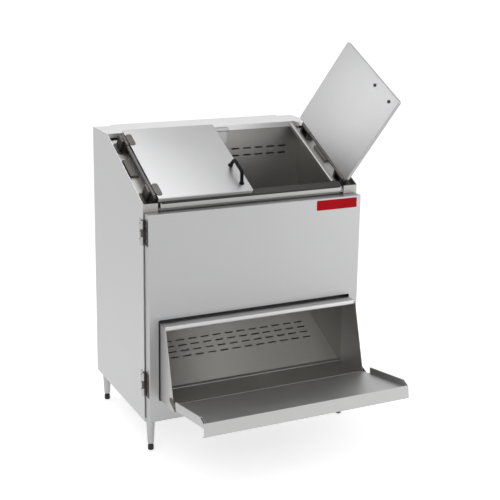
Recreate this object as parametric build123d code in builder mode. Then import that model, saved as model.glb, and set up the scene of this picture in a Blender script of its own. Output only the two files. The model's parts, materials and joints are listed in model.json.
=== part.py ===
from build123d import *
import os
from math import atan2, cos, degrees, hypot, radians, sin

os.makedirs("parts", exist_ok=True)

# All sizes in millimetres. X runs to the right as seen from the front, Y to the back, Z up.
# The origin is on the floor under the middle of the cabinet.

# Cabinet
cabinet_width = 870.0
cabinet_depth = 550.0
cabinet_height = 1134.0
front_height = 947.0
flat_top_depth = 169.0
leg_height = 127.0
sheet = 1.5
liner_sheet = 1.2
bend_radius = 2.5
jamb_width = 45.0
edge_flange = 15.0
seat = 0.3

# Hopper
hopper_side_space = 45.0
hopper_back_offset = 12.0
chute_rise = 190.0
chute_front_height = 238.0
chute_back_flange = 45.0
chute_front_flange = 18.0
perforation_length = 34.0
perforation_width = 6.0
perforation_pitch = 52.0
perforation_row_pitch = 28.0

# Opening frame and lids, measured along and square to the sloping top
channel_depth = 22.0
channel_width = 95.0
coaming_width = 12.0
coaming_drop = 14.0
front_ledge_width = 30.0
front_ledge_drop = 24.0
rail_end_space = 67.0
rail_slot = 10.0
rail_nose_height = 22.0
rail_groove = 10.0
rail_face_bottom = 872.0
end_cap_bottom = 900.0
lid_edge_from_middle = 5.0
lid_overlap = 37.0
lid_end_gap = 2.0
lid_thickness = 15.0
lid_sheet = 1.2
lid_corner = 6.0
lid_edge_round = 3.0
lid_lift = 1.0
lid_open_angle = 109.0
pin_beyond_lid = 9.5
pin_above_slope = 10.0
lid_rod_radius = 6.5
lid_hinge_length = 66.0
lid_ear = 12.0
lid_knuckle_radius = 9.2
lid_hinge_places = (54.0, 356.0)
lid_hinge_base_thickness = 2.5
lid_leaf = 2.0
lid_leaf_on_top = 23.0
lid_leaf_corner = 9.0
lid_stop_reach = 21.0
lid_stop_thickness = 6.0
bumper_place = 227.0
bumper_length = 98.0
bumper_height = 9.0
bumper_foot_height = 3.0
bumper_foot_width = 12.0
running_gap = 0.06

# Lid handles
handle_from_middle = 36.0
handle_low_leg = 47.0
handle_spacing = 111.0
handle_splay = 19.0
handle_standoff = 40.0
handle_radius = 6.5
handle_corner = 15.0
handle_foot_radius = 10.0
handle_foot_height = 3.0
handle_screw_radius = 2.5
handle_screw_depth = 7.0
handle_screw_head_radius = 6.5
handle_screw_head_height = 2.5

# Top cap
cap_step_from_side = 67.0
cap_step_height = 4.0
cap_step_run = 6.0
cap_front_lip = 17.0

# Door
door_side_reveal = 5.0
door_bottom = 137.0
door_top = 914.0
door_gap = 4.0
door_thickness = 38.0
gasket_width = 14.0
gasket_thickness = 3.4
door_open_angle = 120.0
door_hinge_heights = (275.0, 845.0)
door_hinge_length = 90.0
door_knuckle_radius = 6.0
door_pin_radius = 3.0
door_hinge_out = 4.5
door_leaf = 2.0
door_fixed_leaf_width = 33.0
door_moving_leaf_width = 27.0
knuckle_gap = 0.3

# Mouth in the door
cut_side_clearance = 4.0
cut_bottom = 216.0
cut_top = 525.0
cut_corner = 6.0
mouth_top_reach = 97.0
mouth_top_height = 512.0
mouth_low_reach = 168.0
mouth_low_height = 267.0
header_depth = 16.0
header_tall = 18.0
header_round = 6.0
header_setback = 3.0
sill_back_height = 236.0
sill_front_height = 229.0
sill_lip = 25.0

# Serving tray
tray_tilt = 9.0
tray_pivot_drop = 13.0
tray_clearance = 1.2
tray_surface_height = 263.3
tray_surface_reach = 215.8
tray_length = 275.0
tray_side_gap = 2.5
tray_wall_height = 20.0
tray_wall_start = 28.0
tray_wall_end = 246.0
tray_hem = 7.5
tray_skirt = 12.0
tray_apron = 47.0
tray_apron_return = 14.0
tray_lip = 3.0
tray_rod_radius = 6.0
tray_pin_radius = 4.0
tray_bracket_thickness = 2.0
tray_bracket_radius = 11.0
tray_barrel_gap = 2.5
stiffener_place = 140.0
stiffener_width = 60.0
stiffener_depth = 14.0

# Door latch on the right-hand side
latch_drop = 11.0
latch_pin_radius = 4.0
latch_arm_length = 46.0
latch_arm_width = 17.0
latch_arm_thickness = 3.0
latch_pivot_back = 26.0
latch_plate = 2.0
keeper_radius = 2.5
keeper_play = 2.5
keeper_collar = 1.5
thumb_tab = 9.0
thumb_tab_half = 5.0

# Legs and levelling feet
leg_inset = 32.0
leg_front_inset = 22.0
leg_top_radius = 17.0
leg_bottom_radius = 12.0
leg_plate_size = 60.0
leg_plate_thickness = 3.0
foot_radius = 11.0
foot_height = 22.0
foot_travel = 25.0
stem_radius = 5.0
stem_length = 62.0

# Warm-air unit behind and below the hopper
wheel_radius = 58.0
wheel_width = 70.0
wheel_blades = 24
blade_depth = 14.0
blade_sheet = 1.5
wheel_hub_radius = 9.0
shaft_radius = 4.0
housing_wall = 2.0
housing_gap = 6.0
blower_from_back = 79.0
blower_z = 228.0
outlet_height = 62.0
outlet_reach = 40.0
motor_radius = 38.0
motor_length = 82.0
heater_radius = 4.0
heater_half_span = 230.0
heater_before_outlet = 105.0
heater_pass_pitch = 60.0
heater_passes = 2

# Rear panels and controls
service_half_width = 320.0
service_bottom = 150.0
service_top = 560.0
service_overlap = 20.0
control_x = -250.0
control_z = 680.0
knob_radius = 19.0
knob_height = 16.0
knob_turn = 270.0
rocker_swing = 20.0
gland_radius = 11.0

# Worked out from the sizes above
half_width = cabinet_width / 2
front = -cabinet_depth / 2
back = cabinet_depth / 2
fold = back - flat_top_depth
inner_half_width = half_width - sheet
slope_run = fold - front
slope_rise = cabinet_height - front_height
slope_angle = atan2(slope_rise, slope_run)
slope_length = hypot(slope_run, slope_rise)
slope_cos = cos(slope_angle)
slope_sin = sin(slope_angle)
hopper_back = fold + hopper_back_offset
liner_half_width = half_width - hopper_side_space
opening_half_width = half_width - channel_width
rail_half_width = half_width - rail_end_space
lid_outer = opening_half_width + lid_overlap
lid_width = lid_outer - lid_edge_from_middle
lid_pin_x = lid_outer + pin_beyond_lid
lid_low = lid_end_gap
lid_high = slope_length - lid_end_gap
lid_top = lid_lift + lid_thickness
door_back = front - door_gap
door_front = door_back - door_thickness
door_half_width = half_width - door_side_reveal
cut_half_width = liner_half_width + cut_side_clearance
blower_y = back - blower_from_back
housing_half = wheel_width / 2 + housing_gap
scroll_radius = wheel_radius + housing_gap
scroll_outer = scroll_radius + housing_wall
outlet_half_width = housing_half + housing_wall
outlet_bottom = blower_z - scroll_outer
outlet_top = outlet_bottom + outlet_height + 2 * housing_wall


def write(name, piece):
    """Give the piece its name and write it as its own STEP file."""
    piece.label = name
    export_step(piece, f"parts/{name}.step")


def block(low, high, mode=Mode.ADD):
    """A box between two opposite corners."""
    middle = tuple((a + b) / 2 for a, b in zip(low, high))
    size = [b - a for a, b in zip(low, high)]
    with Locations(middle):
        Box(*size, mode=mode)


def outline(plane, points, radius=0):
    """A closed flat outline on the plane, with its corners rounded where a radius is given."""
    with BuildSketch(plane) as face:
        with BuildLine():
            if radius:
                FilletPolyline(*points, radius=radius, close=True)
            else:
                Polyline(*points, close=True)
        make_face()
    return face.sketch


def folded(plane, points, thickness=sheet, radius=bend_radius, side=Side.LEFT):
    """Folded sheet seen end on: the points run along one skin and the thickness lies to one side."""
    with BuildSketch(plane) as face:
        with BuildLine():
            if len(points) > 2:
                FilletPolyline(*points, radius=radius)
            else:
                Polyline(*points)
            offset(amount=thickness, side=side, closed=True)
        make_face()
    return face.sketch


def mirrored(piece):
    """The same piece on the other side of the cabinet."""
    return mirror(piece, about=Plane.YZ)


def slope_plane(height=0.0):
    """Plane of the sloping top: local X to the right, local Y up the slope."""
    start = (0, front - height * slope_sin, front_height + height * slope_cos)
    return Plane(origin=start, x_dir=(1, 0, 0), z_dir=(0, -slope_sin, slope_cos))


def slope_side(x):
    """Side view of the sloping top at x: local X up the slope, local Y square to it."""
    return Plane(origin=(x, front, front_height), x_dir=(0, slope_cos, slope_sin), z_dir=(1, 0, 0))


def slope_section(along):
    """Section across the slope: local X to the right, local Y square to it, facing down the slope."""
    start = (0, front + along * slope_cos, front_height + along * slope_sin)
    return Plane(origin=start, x_dir=(1, 0, 0), z_dir=(0, -slope_cos, -slope_sin))


def lid_pin_axis(x):
    """Hinge axis of a lid, running up the slope."""
    point = slope_plane(pin_above_slope).origin + Vector(x, 0, 0)
    return Axis(point, (0, slope_cos, slope_sin))


# Side panels: flat plates with the sloping shoulder, flanged at the front, back and bottom.
side_points = [
    (front, leg_height),
    (front, front_height),
    (fold, cabinet_height),
    (back, cabinet_height),
    (back, leg_height),
]
with BuildPart() as side_panel:
    extrude(outline(Plane.YZ.offset(inner_half_width), side_points), amount=sheet)
    block(
        (half_width - jamb_width, front, leg_height),
        (half_width, front + sheet, end_cap_bottom - seat),
    )
    block(
        (inner_half_width - edge_flange, back - sheet, leg_height),
        (half_width, back, cabinet_height - sheet),
    )
    block((inner_half_width - edge_flange, front, leg_height), (half_width, back, leg_height + sheet))
write("right_side_panel", side_panel.part)
write("left_side_panel", mirrored(side_panel.part))

# Base pan with upturned edges, laid on the side panels' bottom flanges.
base_low = leg_height + sheet
pan_side = inner_half_width - seat
pan_front = front + sheet + seat
pan_back = back - sheet - seat
pan_edge = 20.0
with BuildPart() as base_pan:
    block((-pan_side, pan_front, base_low), (pan_side, pan_back, base_low + pan_edge))
    block(
        (-pan_side + sheet, pan_front + sheet, base_low + sheet),
        (pan_side - sheet, pan_back - sheet, base_low + pan_edge),
        mode=Mode.SUBTRACT,
    )
write("base_pan", base_pan.part)
pan_floor = base_low + sheet

# Lower front rail under the mouth, folded back at the top to carry the chute.
jamb_edge = half_width - jamb_width
rail_points = [
    (front, leg_height),
    (front, chute_front_height - liner_sheet),
    (front + chute_front_flange, chute_front_height - liner_sheet),
]
with BuildPart() as lower_front_rail:
    start = -jamb_edge + seat
    extrude(
        folded(Plane.YZ.offset(start), rail_points, side=Side.RIGHT),
        amount=-2 * start,
    )
write("lower_front_rail", lower_front_rail.part)

# Rear panel with the service cut-out and the holes for the controls and the cable gland.
rocker_x = control_x + 80
gland_x = 250.0
gland_z = 620.0
rocker_size = (22.0, 30.0)
rear_low = leg_height + sheet
rear_high = cabinet_height - sheet - seat
rear_side = inner_half_width - seat
with BuildPart() as rear_panel:
    block(
        (-rear_side + edge_flange, back - sheet, rear_low + seat),
        (rear_side - edge_flange, back, rear_high),
    )
    block(
        (-service_half_width + service_overlap, back - sheet, service_bottom + service_overlap),
        (service_half_width - service_overlap, back, service_top - service_overlap),
        mode=Mode.SUBTRACT,
    )
    with BuildSketch(Plane.XZ.offset(-back)):
        with Locations((control_x, control_z)):
            Circle(shaft_radius + 1)
        with Locations((rocker_x, control_z)):
            Rectangle(*rocker_size)
        with Locations((gland_x, gland_z)):
            Circle(gland_radius)
    extrude(amount=sheet, mode=Mode.SUBTRACT)
write("rear_panel", rear_panel.part)

# Removable service cover with rows of hooded louvres.
louvre_width = 120.0
louvre_height = 9.0
louvre_depth = 7.0
louvre_columns = 3
louvre_rows = 9
louvre_pitch_x = 160.0
louvre_pitch_z = 26.0
louvre_rise = 160.0
louvre_z = service_bottom + louvre_rise
louvre_wall = 1.2
hood_points = [
    (back + sheet, 0),
    (back + sheet + louvre_depth, 0),
    (back + sheet + louvre_depth, 2),
    (back + sheet, louvre_height + 3),
]
with BuildPart() as service_cover:
    block((-service_half_width, back, service_bottom), (service_half_width, back + sheet, service_top))
    for column in range(louvre_columns):
        middle = (column - (louvre_columns - 1) / 2) * louvre_pitch_x
        for row in range(louvre_rows):
            base = louvre_z + (row - (louvre_rows - 1) / 2) * louvre_pitch_z
            left = middle - louvre_width / 2
            hood = [(y, z + base) for y, z in hood_points]
            extrude(outline(Plane.YZ.offset(left), hood), amount=louvre_width)
            inner = [
                (back - sheet, base),
                (back + sheet + louvre_depth - louvre_wall, base),
                (back + sheet + louvre_depth - louvre_wall, base + 1),
                (back + sheet - louvre_wall, base + louvre_height),
                (back - sheet, base + louvre_height),
            ]
            extrude(
                outline(Plane.YZ.offset(left + louvre_wall), inner),
                amount=louvre_width - 2 * louvre_wall,
                mode=Mode.SUBTRACT,
            )
write("rear_service_cover", service_cover.part)

screw_radius = 4.5
screw_height = 2.2
cover_screw_inset = 10.0
with BuildPart() as cover_screws:
    screw_pitch = service_half_width - cover_screw_inset
    screw_rows = (service_bottom + cover_screw_inset, service_top - cover_screw_inset)
    with BuildSketch(Plane.XZ.offset(-back - sheet)):
        for row in screw_rows:
            with Locations((-screw_pitch, row), (0, row), (screw_pitch, row)):
                Circle(screw_radius)
    extrude(amount=-screw_height)
write("service_cover_screws", cover_screws.part)

# Hopper: two side liners, a back liner with air slots and the sloping chute floor.
liner_top_gap = channel_depth + sheet + seat
liner_front = front + sheet + seat
liner_bottom = chute_front_height - 30
liner_top_front = front_height + (liner_front - front) * slope_rise / slope_run - liner_top_gap / slope_cos
liner_top_back = cabinet_height - liner_top_gap / slope_cos
side_liner_points = [
    (liner_front, liner_bottom),
    (liner_front, liner_top_front),
    (fold, liner_top_back),
    (hopper_back + liner_sheet, liner_top_back),
    (hopper_back + liner_sheet, liner_bottom),
]
with BuildPart() as side_liners:
    extrude(outline(Plane.YZ.offset(liner_half_width), side_liner_points), amount=liner_sheet)
    mirror(about=Plane.YZ)
write("hopper_side_liners", side_liners.part)

slot_columns = int(2 * (liner_half_width - perforation_pitch) / perforation_pitch)
return_slot_rows = 2
return_slot_drop = 110.0
return_slot_z = cabinet_height - return_slot_drop
liner_side = liner_half_width - seat
with BuildPart() as back_liner:
    block(
        (-liner_side, hopper_back, liner_bottom),
        (liner_side, hopper_back + liner_sheet, cabinet_height - sheet - cap_step_height),
    )
    with BuildSketch(Plane.XZ.offset(-hopper_back)):
        with Locations((0, return_slot_z)):
            with GridLocations(perforation_pitch, perforation_row_pitch, slot_columns, return_slot_rows):
                Rectangle(perforation_length, perforation_width)
    extrude(amount=-liner_sheet, mode=Mode.SUBTRACT)
    block(
        (-outlet_half_width - 1, hopper_back, outlet_bottom - 1),
        (outlet_half_width + 1, hopper_back + liner_sheet, outlet_top + 1),
        mode=Mode.SUBTRACT,
    )
write("hopper_back_liner", back_liner.part)

chute_back_height = chute_front_height + chute_rise
chute_foot = front + chute_front_flange + seat
chute_points = [
    (front, chute_front_height),
    (chute_foot, chute_front_height),
    (hopper_back - seat - liner_sheet, chute_back_height),
    (hopper_back - seat - liner_sheet, chute_back_height + chute_back_flange),
]
chute_angle = atan2(chute_rise, hopper_back - seat - liner_sheet - chute_foot)
chute_slot_rows = 4
chute_slot_place = 0.42
chute_middle = (
    0,
    chute_foot + chute_slot_place * (hopper_back - chute_foot),
    chute_front_height + chute_slot_place * chute_rise,
)
chute_plane = Plane(
    origin=chute_middle,
    x_dir=(1, 0, 0),
    z_dir=(0, -sin(chute_angle), cos(chute_angle)),
)
with BuildPart() as chute_floor:
    extrude(
        folded(Plane.YZ.offset(-liner_side), chute_points, liner_sheet, side=Side.RIGHT),
        amount=2 * liner_side,
    )
    with BuildSketch(chute_plane.offset(sheet)):
        with GridLocations(perforation_pitch, perforation_row_pitch, slot_columns, chute_slot_rows):
            Rectangle(perforation_length, perforation_width)
    extrude(amount=-3 * sheet, mode=Mode.SUBTRACT)
write("chute_floor", chute_floor.part)

# Front top rail: a ledge under the lids' front edges, a nose, a groove and the face that the door seals on.
ledge_height = lid_lift - 2 * sheet
ledge_start = lid_low


def slope_point(along, height):
    """A point of the slope's side view in cabinet Y and Z."""
    return (
        front + along * slope_cos - height * slope_sin,
        front_height + along * slope_sin + height * slope_cos,
    )


rail_nose_top = slope_point(0, ledge_height)[1] - slope_sin
rail_nose_bottom = rail_nose_top - rail_nose_height
rail_groove_bottom = end_cap_bottom - 2 * seat
rail_ends = jamb_edge - seat
front_rail_points = [
    slope_point(ledge_start + front_ledge_width, ledge_height - front_ledge_drop),
    slope_point(ledge_start + front_ledge_width, ledge_height),
    (front, rail_nose_top),
    (front, rail_nose_bottom),
    (front + rail_groove, rail_nose_bottom),
    (front + rail_groove, rail_groove_bottom),
    (front, rail_groove_bottom),
    (front, rail_face_bottom),
]
with BuildPart() as front_top_rail:
    extrude(folded(Plane.YZ.offset(-rail_ends), front_rail_points), amount=2 * rail_ends)
    for low_x, high_x in ((-half_width, -rail_half_width), (rail_half_width, half_width)):
        block(
            (low_x, front - sheet, end_cap_bottom - seat),
            (high_x, fold, cabinet_height),
            mode=Mode.SUBTRACT,
        )
write("front_top_rail", front_top_rail.part)

# Hinge channels: folded sheet sunk below the side panels' sloping edges, with a coaming and an end cap.
channel_outer = inner_half_width - seat
coaming_top = lid_lift - seat
channel_points = [
    (channel_outer, -sheet),
    (channel_outer, -channel_depth - sheet),
    (opening_half_width + coaming_width, -channel_depth - sheet),
    (opening_half_width + coaming_width, coaming_top - sheet),
    (opening_half_width + sheet, coaming_top - sheet),
    (opening_half_width + sheet, -coaming_drop),
]
channel_run_out = 20.0
with BuildPart() as hinge_channel:
    extrude(
        folded(slope_section(slope_length + channel_run_out), channel_points, side=Side.RIGHT),
        amount=slope_length + 2 * channel_run_out,
    )
    block(
        (0, front - cabinet_depth, 0),
        (cabinet_width, front + sheet, 2 * cabinet_height),
        mode=Mode.SUBTRACT,
    )
    block(
        (0, fold - sheet - seat, 0),
        (cabinet_width, 2 * back, 2 * cabinet_height),
        mode=Mode.SUBTRACT,
    )
    rail_clear = [
        (-channel_run_out, -2 * channel_depth),
        (lid_low + front_ledge_width + sheet + seat, -2 * channel_depth),
        (lid_low + front_ledge_width + sheet + seat, channel_depth),
        (-channel_run_out, channel_depth),
    ]
    extrude(outline(slope_side(0), rail_clear), amount=rail_half_width + seat, mode=Mode.SUBTRACT)
    block(
        (rail_half_width + rail_slot, front, end_cap_bottom),
        (channel_outer, front + sheet, front_height - sheet),
    )
write("right_hinge_channel", hinge_channel.part)
write("left_hinge_channel", mirrored(hinge_channel.part))

# Top cap: flat sheet with a slightly raised middle and a lip that turns down at the back of the opening.
cap_side = inner_half_width - seat
cap_step = half_width - cap_step_from_side
cap_points = [
    (-cap_side, cabinet_height),
    (-cap_step, cabinet_height),
    (-cap_step + cap_step_run, cabinet_height + cap_step_height),
    (cap_step - cap_step_run, cabinet_height + cap_step_height),
    (cap_step, cabinet_height),
    (cap_side, cabinet_height),
]
with BuildPart() as top_cap:
    extrude(folded(Plane.XZ.offset(-back), cap_points, side=Side.RIGHT), amount=flat_top_depth)
    block(
        (-cap_side, fold - sheet, cabinet_height - cap_front_lip),
        (cap_side, fold, cabinet_height),
    )
    block(
        (-cap_step + cap_step_run, fold - sheet, cabinet_height - sheet),
        (cap_step - cap_step_run, fold, cabinet_height + cap_step_height),
    )
write("top_cap", top_cap.part)

# Small folded rest under the cap for the lids' meeting corners.
rest_width = 130.0
rest_drop = 52.0
rest_reach = 9.0
with BuildPart() as centre_lid_rest:
    rest_shelf = cabinet_height - cap_front_lip - seat
    rest_front = fold - rest_reach
    rest_top = slope_point((rest_front - sheet - front) / slope_cos, coaming_top)[1]
    rest_points = [
        (hopper_back, rest_shelf - rest_drop),
        (hopper_back, rest_shelf),
        (rest_front, rest_shelf),
        (rest_front, rest_top),
    ]
    extrude(folded(Plane.YZ.offset(-rest_width / 2), rest_points, radius=sheet + 0.5), amount=rest_width)
write("centre_lid_rest", centre_lid_rest.part)


# Lid hinges: each base stands in the channel, holds the rod in two ears and has a rest for the open lid.
def open_lid_point(along):
    """A point on the rest's face, just off the leaf of the open lid, at a distance from the pin."""
    turn = radians(lid_open_angle)
    off = lid_top + lid_leaf + seat - pin_above_slope
    return (
        lid_pin_x - along * cos(turn) + off * sin(turn),
        pin_above_slope + along * sin(turn) + off * cos(turn),
    )


def lid_hinge_base():
    """Both hinge bases of the right-hand side, on the channel floor."""
    half = lid_hinge_length / 2
    floor = -channel_depth
    ear_foot = lid_pin_x + 2 * lid_knuckle_radius
    rest_low = open_lid_point(lid_knuckle_radius)
    rest_foot = max(lid_pin_x + lid_knuckle_radius + 4 * seat, rest_low[0])
    rest_tip = open_lid_point(lid_stop_reach)
    ear_points = [
        (lid_pin_x - lid_knuckle_radius, floor),
        (lid_pin_x - lid_knuckle_radius, pin_above_slope),
        (lid_pin_x + lid_knuckle_radius, pin_above_slope),
        (ear_foot, floor),
    ]
    rest_points = [
        (rest_foot, floor),
        (rest_foot, rest_low[1]),
        rest_tip,
        (rest_tip[0] + lid_stop_thickness, rest_tip[1]),
        (ear_foot + lid_stop_thickness, floor),
    ]
    plate_width = ear_foot + lid_stop_thickness + lid_leaf_corner - lid_outer
    with BuildPart() as bases:
        for place in lid_hinge_places:
            with BuildSketch(slope_plane(floor)):
                with Locations((lid_outer + plate_width / 2, place)):
                    RectangleRounded(plate_width, lid_hinge_length, lid_leaf_corner)
            extrude(amount=lid_hinge_base_thickness)
            for start in (place + half, place - half + lid_ear):
                ear_plane = slope_section(start)
                extrude(outline(ear_plane, ear_points), amount=lid_ear)
                with BuildSketch(ear_plane):
                    with Locations((lid_pin_x, pin_above_slope)):
                        Circle(lid_knuckle_radius)
                extrude(amount=lid_ear)
            extrude(outline(slope_section(place + half - lid_ear), rest_points), amount=lid_hinge_length - 2 * lid_ear)
            with BuildSketch(slope_section(place + half)):
                with Locations((lid_pin_x, pin_above_slope)):
                    Circle(lid_rod_radius)
            extrude(amount=lid_hinge_length, mode=Mode.SUBTRACT)
    return bases.part


with BuildPart() as lid_bases:
    add(lid_hinge_base())
    mirror(about=Plane.YZ)
write("lid_hinge_bases", lid_bases.part)

rod_over = 6.0
with BuildPart() as hinge_rod:
    with BuildSketch(slope_section(lid_hinge_places[1] + lid_hinge_length / 2 + rod_over)):
        with Locations((lid_pin_x, pin_above_slope)):
            Circle(lid_rod_radius)
    extrude(amount=lid_hinge_places[1] - lid_hinge_places[0] + lid_hinge_length + 2 * rod_over)
    mirror(about=Plane.YZ)
write("lid_hinge_rods", hinge_rod.part)

# Low rubber bumpers on the channel floors, between the hinges, each with a thin foot along its outer side.
bumper_in = lid_pin_x
bumper_out = inner_half_width - 2 * sheet
with BuildPart() as bumpers:
    floor = -channel_depth
    bumper_points = [
        (bumper_in, floor),
        (bumper_out, floor),
        (bumper_out, floor + bumper_foot_height),
        (bumper_out - bumper_foot_width, floor + bumper_foot_height),
        (bumper_out - bumper_foot_width, floor + bumper_height),
        (bumper_in, floor + bumper_height),
    ]
    extrude(outline(slope_section(bumper_place + bumper_length / 2), bumper_points), amount=bumper_length)
    mirror(about=Plane.YZ)
write("channel_bumpers", bumpers.part)

# Lids, built closed on the right-hand side: a pan-shaped skin, a liner, a bow handle and the hinge leaves.
lid_middle = lid_edge_from_middle + lid_width / 2
lid_length = lid_high - lid_low
handle_legs = (handle_low_leg, handle_low_leg + handle_spacing)
with BuildPart() as lid_skin:
    with BuildSketch(slope_plane(lid_lift)):
        with Locations((lid_middle, (lid_low + lid_high) / 2)):
            RectangleRounded(lid_width, lid_length, lid_corner)
    extrude(amount=lid_thickness)
    slope_up = Axis(slope_plane().origin, slope_plane().z_dir)
    fillet(lid_skin.faces().sort_by(slope_up)[-1].edges(), lid_edge_round)
    with BuildSketch(slope_plane(lid_lift)):
        with Locations((lid_middle, (lid_low + lid_high) / 2)):
            RectangleRounded(lid_width - 2 * lid_sheet, lid_length - 2 * lid_sheet, lid_corner - lid_sheet)
    extrude(amount=lid_thickness - lid_sheet, mode=Mode.SUBTRACT)
    with BuildSketch(slope_plane(lid_lift)):
        for leg in handle_legs:
            with Locations((handle_from_middle, leg)):
                Circle(handle_screw_radius)
    extrude(amount=lid_thickness, mode=Mode.SUBTRACT)

with BuildPart() as lid_liner:
    with BuildSketch(slope_plane(lid_lift)):
        with Locations((lid_middle, (lid_low + lid_high) / 2)):
            RectangleRounded(
                lid_width - 2 * (lid_sheet + seat),
                lid_length - 2 * (lid_sheet + seat),
                lid_corner - lid_sheet,
            )
        for leg in handle_legs:
            with Locations((handle_from_middle, leg)):
                Circle(handle_screw_radius, mode=Mode.SUBTRACT)
    extrude(amount=lid_sheet)

handle_top = lid_top + handle_standoff
handle_sink = 2 * handle_radius
sink_out = handle_sink * handle_splay / handle_standoff
with BuildPart() as lid_handle:
    with BuildLine(slope_side(handle_from_middle)) as handle_path:
        FilletPolyline(
            (handle_legs[0] - sink_out, lid_top - handle_sink),
            (handle_legs[0] + handle_splay, handle_top),
            (handle_legs[1] - handle_splay, handle_top),
            (handle_legs[1] + sink_out, lid_top - handle_sink),
            radius=handle_corner,
        )
    with BuildSketch(Plane(origin=handle_path.line @ 0, z_dir=handle_path.line % 0)):
        Circle(handle_radius)
    sweep(path=handle_path.line)
    split(bisect_by=slope_plane(lid_top))
    with BuildSketch(slope_plane(lid_top)):
        for leg in handle_legs:
            with Locations((handle_from_middle, leg)):
                Circle(handle_foot_radius)
    extrude(amount=handle_foot_height, taper=20)
    with BuildSketch(slope_plane(lid_top)):
        for leg in handle_legs:
            with Locations((handle_from_middle, leg)):
                Circle(handle_screw_radius)
    extrude(amount=handle_screw_depth, mode=Mode.SUBTRACT)

screw_bottom = lid_lift - handle_screw_head_height
with BuildPart() as lid_screws:
    for leg in handle_legs:
        with BuildSketch(slope_plane(screw_bottom)):
            with Locations((handle_from_middle, leg)):
                Circle(handle_screw_head_radius)
        extrude(amount=handle_screw_head_height)
        with BuildSketch(slope_plane(lid_lift)):
            with Locations((handle_from_middle, leg)):
                Circle(handle_screw_radius)
        extrude(amount=lid_thickness + handle_screw_depth)

leaf_low = lid_lift + lid_sheet
leaf_inner = lid_outer - lid_leaf_on_top
leaf_points = [
    (leaf_inner, lid_top),
    (lid_outer, lid_top),
    (lid_outer, leaf_low),
    (lid_outer + lid_leaf, leaf_low),
    (lid_outer + lid_leaf, lid_top + lid_leaf),
    (leaf_inner, lid_top + lid_leaf),
]
knuckle_length = lid_hinge_length - 2 * lid_ear - 2 * knuckle_gap
with BuildPart() as lid_leaves:
    for place in lid_hinge_places:
        knuckle_plane = slope_section(place + knuckle_length / 2)
        extrude(outline(knuckle_plane, leaf_points), amount=knuckle_length)
        with BuildSketch(slope_plane(lid_top)):
            with Locations((lid_outer - lid_leaf_on_top / 2, place)):
                RectangleRounded(lid_leaf_on_top, lid_hinge_length, lid_leaf_corner)
        extrude(amount=lid_leaf)
        with BuildSketch(knuckle_plane):
            with Locations((lid_pin_x, pin_above_slope)):
                Circle(lid_knuckle_radius)
        extrude(amount=knuckle_length)
        with BuildSketch(knuckle_plane):
            with Locations((lid_pin_x, pin_above_slope)):
                Circle(lid_rod_radius + running_gap)
        extrude(amount=knuckle_length, mode=Mode.SUBTRACT)

right_lid_axis = lid_pin_axis(lid_pin_x)
lid_pieces = {
    "lid_skin": lid_skin.part,
    "lid_liner": lid_liner.part,
    "lid_handle": lid_handle.part,
    "lid_handle_screws": lid_screws.part,
    "lid_hinge_leaves": lid_leaves.part,
}
for name, piece in lid_pieces.items():
    write("left_" + name, mirrored(piece))
    write("right_" + name, piece.rotate(right_lid_axis, lid_open_angle))

# Door: a pan-shaped skin with the mouth cut out, a flat liner and a gasket ring.
with BuildPart() as door_skin:
    block(
        (-door_half_width, door_front, door_bottom),
        (door_half_width, door_back - sheet, door_top),
    )
    fillet(door_skin.faces().sort_by(Axis.Y)[0].edges(), bend_radius)
    offset(amount=-sheet, openings=door_skin.faces().sort_by(Axis.Y)[-1])
    with BuildSketch(Plane.XZ.offset(-door_front)):
        with Locations((0, (cut_bottom + cut_top) / 2)):
            RectangleRounded(2 * cut_half_width, cut_top - cut_bottom, cut_corner)
    extrude(amount=-door_thickness, mode=Mode.SUBTRACT)
write("door_skin", door_skin.part)

cheek_outer = liner_half_width
cheek_inner = cheek_outer - sheet
throat_half_width = cheek_inner - seat
tray_half_width = cheek_outer + tray_side_gap + tray_hem
tray_barrel_half_width = cheek_inner - tray_barrel_gap
liner_inset = sheet + seat
with BuildPart() as door_liner:
    block(
        (-door_half_width + liner_inset, door_back - sheet, door_bottom + liner_inset),
        (door_half_width - liner_inset, door_back, door_top - liner_inset),
    )
    block(
        (-cheek_inner, door_back - sheet, sill_back_height),
        (cheek_inner, door_back, cut_top - header_tall / 2),
        mode=Mode.SUBTRACT,
    )
write("door_liner", door_liner.part)

gasket_inset = 24.0
with BuildPart() as door_gasket:
    side = door_half_width - gasket_inset
    low = door_bottom + gasket_inset
    high = door_top - gasket_inset
    block((-side, door_back, low), (side, door_back + gasket_thickness, high))
    block(
        (-side + gasket_width, door_back, low + gasket_width),
        (side - gasket_width, door_back + gasket_thickness, high - gasket_width),
        mode=Mode.SUBTRACT,
    )
write("door_gasket", door_gasket.part)

# Mouth: two slanted cheeks, a rounded header with its hood, and a sill with an upturned lip.
liner_face = door_back - sheet
sill_reach = mouth_low_reach - 1
cheek_points = [
    (liner_face, cut_top - header_tall / 2),
    (front - mouth_top_reach, mouth_top_height),
    (front - mouth_low_reach, mouth_low_height),
    (front - mouth_low_reach - 3, mouth_low_height - 11),
    (front - mouth_low_reach - 3, sill_front_height - 3),
    (liner_face, cut_bottom + 6),
]
with BuildPart() as cheeks:
    extrude(outline(Plane.YZ.offset(cheek_inner), cheek_points), amount=sheet)
    mirror(about=Plane.YZ)
write("mouth_cheeks", cheeks.part)

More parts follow.
